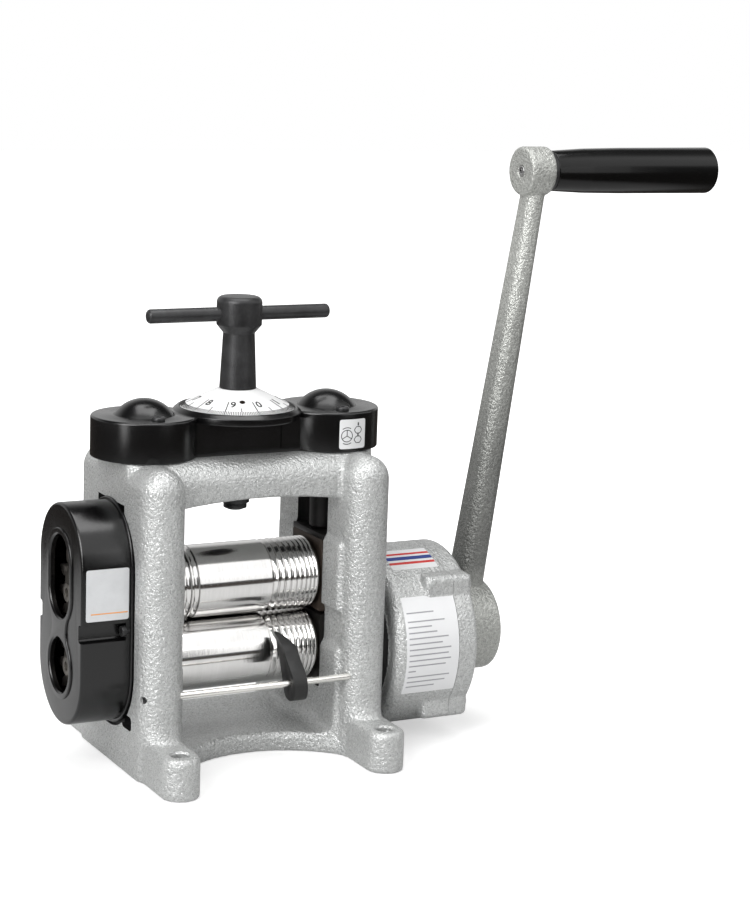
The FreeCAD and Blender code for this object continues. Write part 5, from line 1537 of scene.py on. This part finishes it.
screwSizes = {
    "cover_screws": {"shank": 2.0, "head": 4.6, "high": 2.6, "foot": 0.2, "crown": 1.3, "long": 38.2,
                     "tool": 1.75, "deep": 1.7, "axis": (0, 0, 1), "finish": "blackSteel",
                     "at": [(x, y, coverSizes["top"]) for x in (-70.0, 70.0) for y in (-25.5, 25.5)]},
    "guard_screws": {"shank": 2.2, "head": 3.8, "high": 3.0, "foot": 0.1, "crown": 0.5, "long": 20.4,
                     "tool": 1.75, "deep": 1.9, "axis": (-1, 0, 0), "finish": "blackSteel",
                     "at": [(-98.0, side * guardSizes["screwY"], guardSizes["wellZ"]) for side in (-1, 1)]},
    "cap_screws": {"shank": 2.5, "head": 4.5, "high": 5.0, "foot": 0.1, "crown": 0.5, "long": 30.0,
                   "tool": 2.9, "deep": 3.0, "axis": (1, 0, 0), "finish": "zincSteel",
                   "at": fourPlaces(drumSizes["screwSeat"], drumSizes["lugAt"], drumSizes["lugAt"])},
    "mount_screws": {"shank": 2.5, "head": 4.5, "high": 0.8, "foot": 0.05, "crown": 0.2, "long": 25.5,
                     "tool": 2.0, "deep": 0.5, "axis": (1, 0, 0), "finish": "zincSteel",
                     "at": fourPlaces(drumSizes["boreX"], 38.0, 24.0)},
    "crank_screw": {"shank": 5.0, "head": 8.0, "high": 5.5, "foot": 0.2, "crown": 0.9, "long": 4.0,
                    "tool": 4.6, "deep": 4.0, "axis": (1, 0, 0), "finish": "zincSteel",
                    "at": [(208.0, 0, crankSizes["z"])]},
}

for node, sizes in screwSizes.items():
    name = node.replace("_", "-")
    screw = turnTo(socketScrew("one-" + name, sizes), sizes["axis"])
    fit(screwRow(name, screw, sizes["axis"], sizes["at"], sizes["finish"]), node, sizes["finish"])
print("screws done")

pinSizes = {"x": 224.0, "thread": 3.8, "seat": 244.7, "shank": 5.0, "head": 8.4, "headX": 382.0, "high": 4.7,
            "z": 410.3, "tool": 2.2, "deep": 3.0}


def makePin(sizes):
    # a shoulder screw: its end shows a socket in the boss, and its head holds the grip
    x, tool, thread, shank, head = (sizes[key] for key in ("x", "tool", "thread", "shank", "head"))
    seat, headX, end = sizes["seat"], sizes["headX"], sizes["headX"] + sizes["high"]
    ring = lambda along, outline: [(along, a, sizes["z"] + b) for a, b in outline]
    body = rounded([(x, tool + 0.6), (x, thread, 0.4), (seat, thread), (seat, shank, 0.3), (headX, shank),
                    (headX, head, 0.4), (end, head, 1.0), (end, 0.5)], 4, False)
    rings = [ring(x + sizes["deep"] + 0.3, [(0, 0)]), ring(x + sizes["deep"], hexagon(tool)),
             ring(x + 0.2, hexagon(tool)), ring(x, circle(tool + 0.3))]
    rings += [ring(along, circle(radius)) for along, radius in body]
    rings.append(ring(end, [(0, 0)]))
    fit(smoothFaces(shells("grip-pin", [skin(rings)]), 32), "grip_pin", "zincSteel")


makePin(pinSizes)

springSizes = {"Turns": 5.0, "Radius": 3.5 * mm, "Height": 18.7 * mm, "Wire": 0.75 * mm,
               "Finish": finishes["springSteel"]}
springPlaces = [(x, y, 88.05) for x in (-68.0, 68.0) for y in (-17.8, 17.8)]

springs = coilRow("lift-springs", springSizes, springPlaces)
springs.data.materials.clear()
springs.data.materials.append(finishes["springSteel"])
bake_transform(springs)
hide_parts("lift_springs")
print("springs done")


# stage

stageSizes = {"floor": 12.0, "below": 0.0002, "rough": 0.9, "tone": 0.62,
              "nearLight": 0.5, "farLight": 1.0, "fade": (0.12, 0.75),
              "edge": (0.62, 0.72), "gloom": 0.07, "gloomTint": (1.0, 0.88, 0.8, 1),
              "lowLight": 0.22, "highLight": 0.62}

# what polished metal mirrors, by the angle up from the front (0) over the top (90) to the back (180)
mirrorBands = ((-180, 0.60), (-172, 0.50), (-100, 0.10), (-80, 0.12), (-68, 0.17), (-56, 0.34), (-44, 0.62),
               (-32, 0.85), (-18, 0.95), (-13, 0.5), (-10, 0.09), (9, 0.08), (17, 0.16), (24, 0.34),
               (30, 1.40), (70, 1.5), (80, 1.0), (88, 0.40), (98, 0.20), (112, 0.10), (126, 0.07),
               (136, 0.16), (146, 0.55), (160, 0.85), (180, 0.60))
brightestBand = 1.5


def clamped(value):
    value.socket.node.use_clamp = True
    return value


def makeStage(sizes):
    # a pale floor that keeps the shadow and fades to white away from the mill
    half = sizes["floor"] / 2
    mesh = bpy.data.meshes.new("floor")
    square = ((-half, -half), (half, -half), (half, half), (-half, half))
    mesh.from_pydata(atZ(square, -sizes["below"]), [], [(0, 1, 2, 3)])
    floor = newObject("floor", mesh)
    material = bpy.data.materials.new("floor")
    material.use_nodes = True
    tree = material.node_tree
    shader = tree.nodes["Principled BSDF"]
    shader.inputs["Base Color"].default_value = grey(sizes["tone"])
    shader.inputs["Roughness"].default_value = sizes["rough"]
    path = tree.nodes.new("ShaderNodeLightPath")
    coords = tree.nodes.new("ShaderNodeTexCoord")
    reach = tree.nodes.new("ShaderNodeVectorMath")
    reach.operation = "LENGTH"
    tree.links.new(coords.outputs["Object"], reach.inputs[0])
    distance = Value(reach.outputs["Value"])
    near, far = sizes["fade"]
    away = clamped((distance - near) * (1 / (far - near)))
    glow = tree.nodes.new("ShaderNodeEmission")
    add = tree.nodes.new("ShaderNodeAddShader")
    lift = sizes["nearLight"] + away * (sizes["farLight"] - sizes["nearLight"])
    strength = Value(path.outputs["Is Camera Ray"]) * lift
    tree.links.new(strength.socket, glow.inputs["Strength"])
    tree.links.new(shader.outputs[0], add.inputs[0])
    tree.links.new(glow.outputs[0], add.inputs[1])
    # in polished metal the floor ends at a dark front edge
    gloom = tree.nodes.new("ShaderNodeEmission")
    gloom.inputs["Color"].default_value = sizes["gloomTint"]
    gloom.inputs["Strength"].default_value = sizes["gloom"]
    inner, outer = sizes["edge"]
    beyond = clamped((distance - inner) * (1 / (outer - inner)))
    blend = tree.nodes.new("ShaderNodeMixShader")
    share = Value(path.outputs["Is Glossy Ray"]) * beyond
    tree.links.new(share.socket, blend.inputs[0])
    tree.links.new(add.outputs[0], blend.inputs[1])
    tree.links.new(gloom.outputs[0], blend.inputs[2])
    tree.links.new(blend.outputs[0], tree.nodes["Material Output"].inputs[0])
    mesh.materials.append(material)


def lightWorld(sizes):
    # polished metal mirrors bright and dark bands; other light is even, and the background is white
    world = bpy.data.worlds.new("studio")
    bpy.context.scene.world = world
    world.use_nodes = True
    tree = world.node_tree
    ground = tree.nodes["Background"]
    path = tree.nodes.new("ShaderNodeLightPath")
    coords = tree.nodes.new("ShaderNodeTexCoord")
    parts = tree.nodes.new("ShaderNodeSeparateXYZ")
    tree.links.new(coords.outputs["Generated"], parts.inputs[0])
    seen = Value(path.outputs["Is Camera Ray"])
    mirrored = Value(path.outputs["Is Glossy Ray"])
    turn = Value(parts.outputs["Z"]).maths("ARCTAN2", Value(parts.outputs["Y"]) * -1.0)
    around = turn * (0.5 / math.pi) + 0.5
    bands = tree.nodes.new("ShaderNodeValToRGB")
    setStops(bands.color_ramp.elements, [((angle + 180) / 360, grey(level / brightestBand))
                                         for angle, level in mirrorBands])
    tree.links.new(around.socket, bands.inputs[0])
    high = clamped(Value(parts.outputs["Z"]) * 0.9 + 0.25)
    even = sizes["lowLight"] + high * (sizes["highLight"] - sizes["lowLight"])
    mirror = Value(bands.outputs[0]) * brightestBand
    strength = seen + (1 - seen) * (mirrored * mirror + (1 - mirrored) * even)
    tree.links.new(strength.socket, ground.inputs["Strength"])
    ground.inputs["Color"].default_value = (1, 1, 1, 1)


# name: place, point it faces, width and height, watts
lamps = {
    "keyLamp": ((-1.5, -0.9, 1.3), (0, 0, 0.15), (1.2, 1.2), 30),
    "topLamp": ((0.1, 0.1, 1.9), (0.05, 0, 0.1), (1.4, 1.2), 20),
    "fillLamp": ((0.9, -1.8, 0.7), (0.05, 0, 0.15), (1.0, 1.0), 4),
    "sideStrip": ((-1.6, -0.75, 0.3), (0, 0, 0.2), (0.4, 1.3), 9),
}


def addLamp(name, place, target, size, power):
    data = bpy.data.lights.new(name, "AREA")
    data.shape = "RECTANGLE"
    data.size, data.size_y = size
    data.energy = power
    lamp = bpy.data.objects.new(name, data)
    bpy.context.scene.collection.objects.link(lamp)
    lamp.location = place
    lamp.rotation_euler = (Vector(target) - Vector(place)).to_track_quat("-Z", "Y").to_euler()


makeStage(stageSizes)
lightWorld(stageSizes)
for name, settings in lamps.items():
    addLamp(name, *settings)
print("stage and light ready")
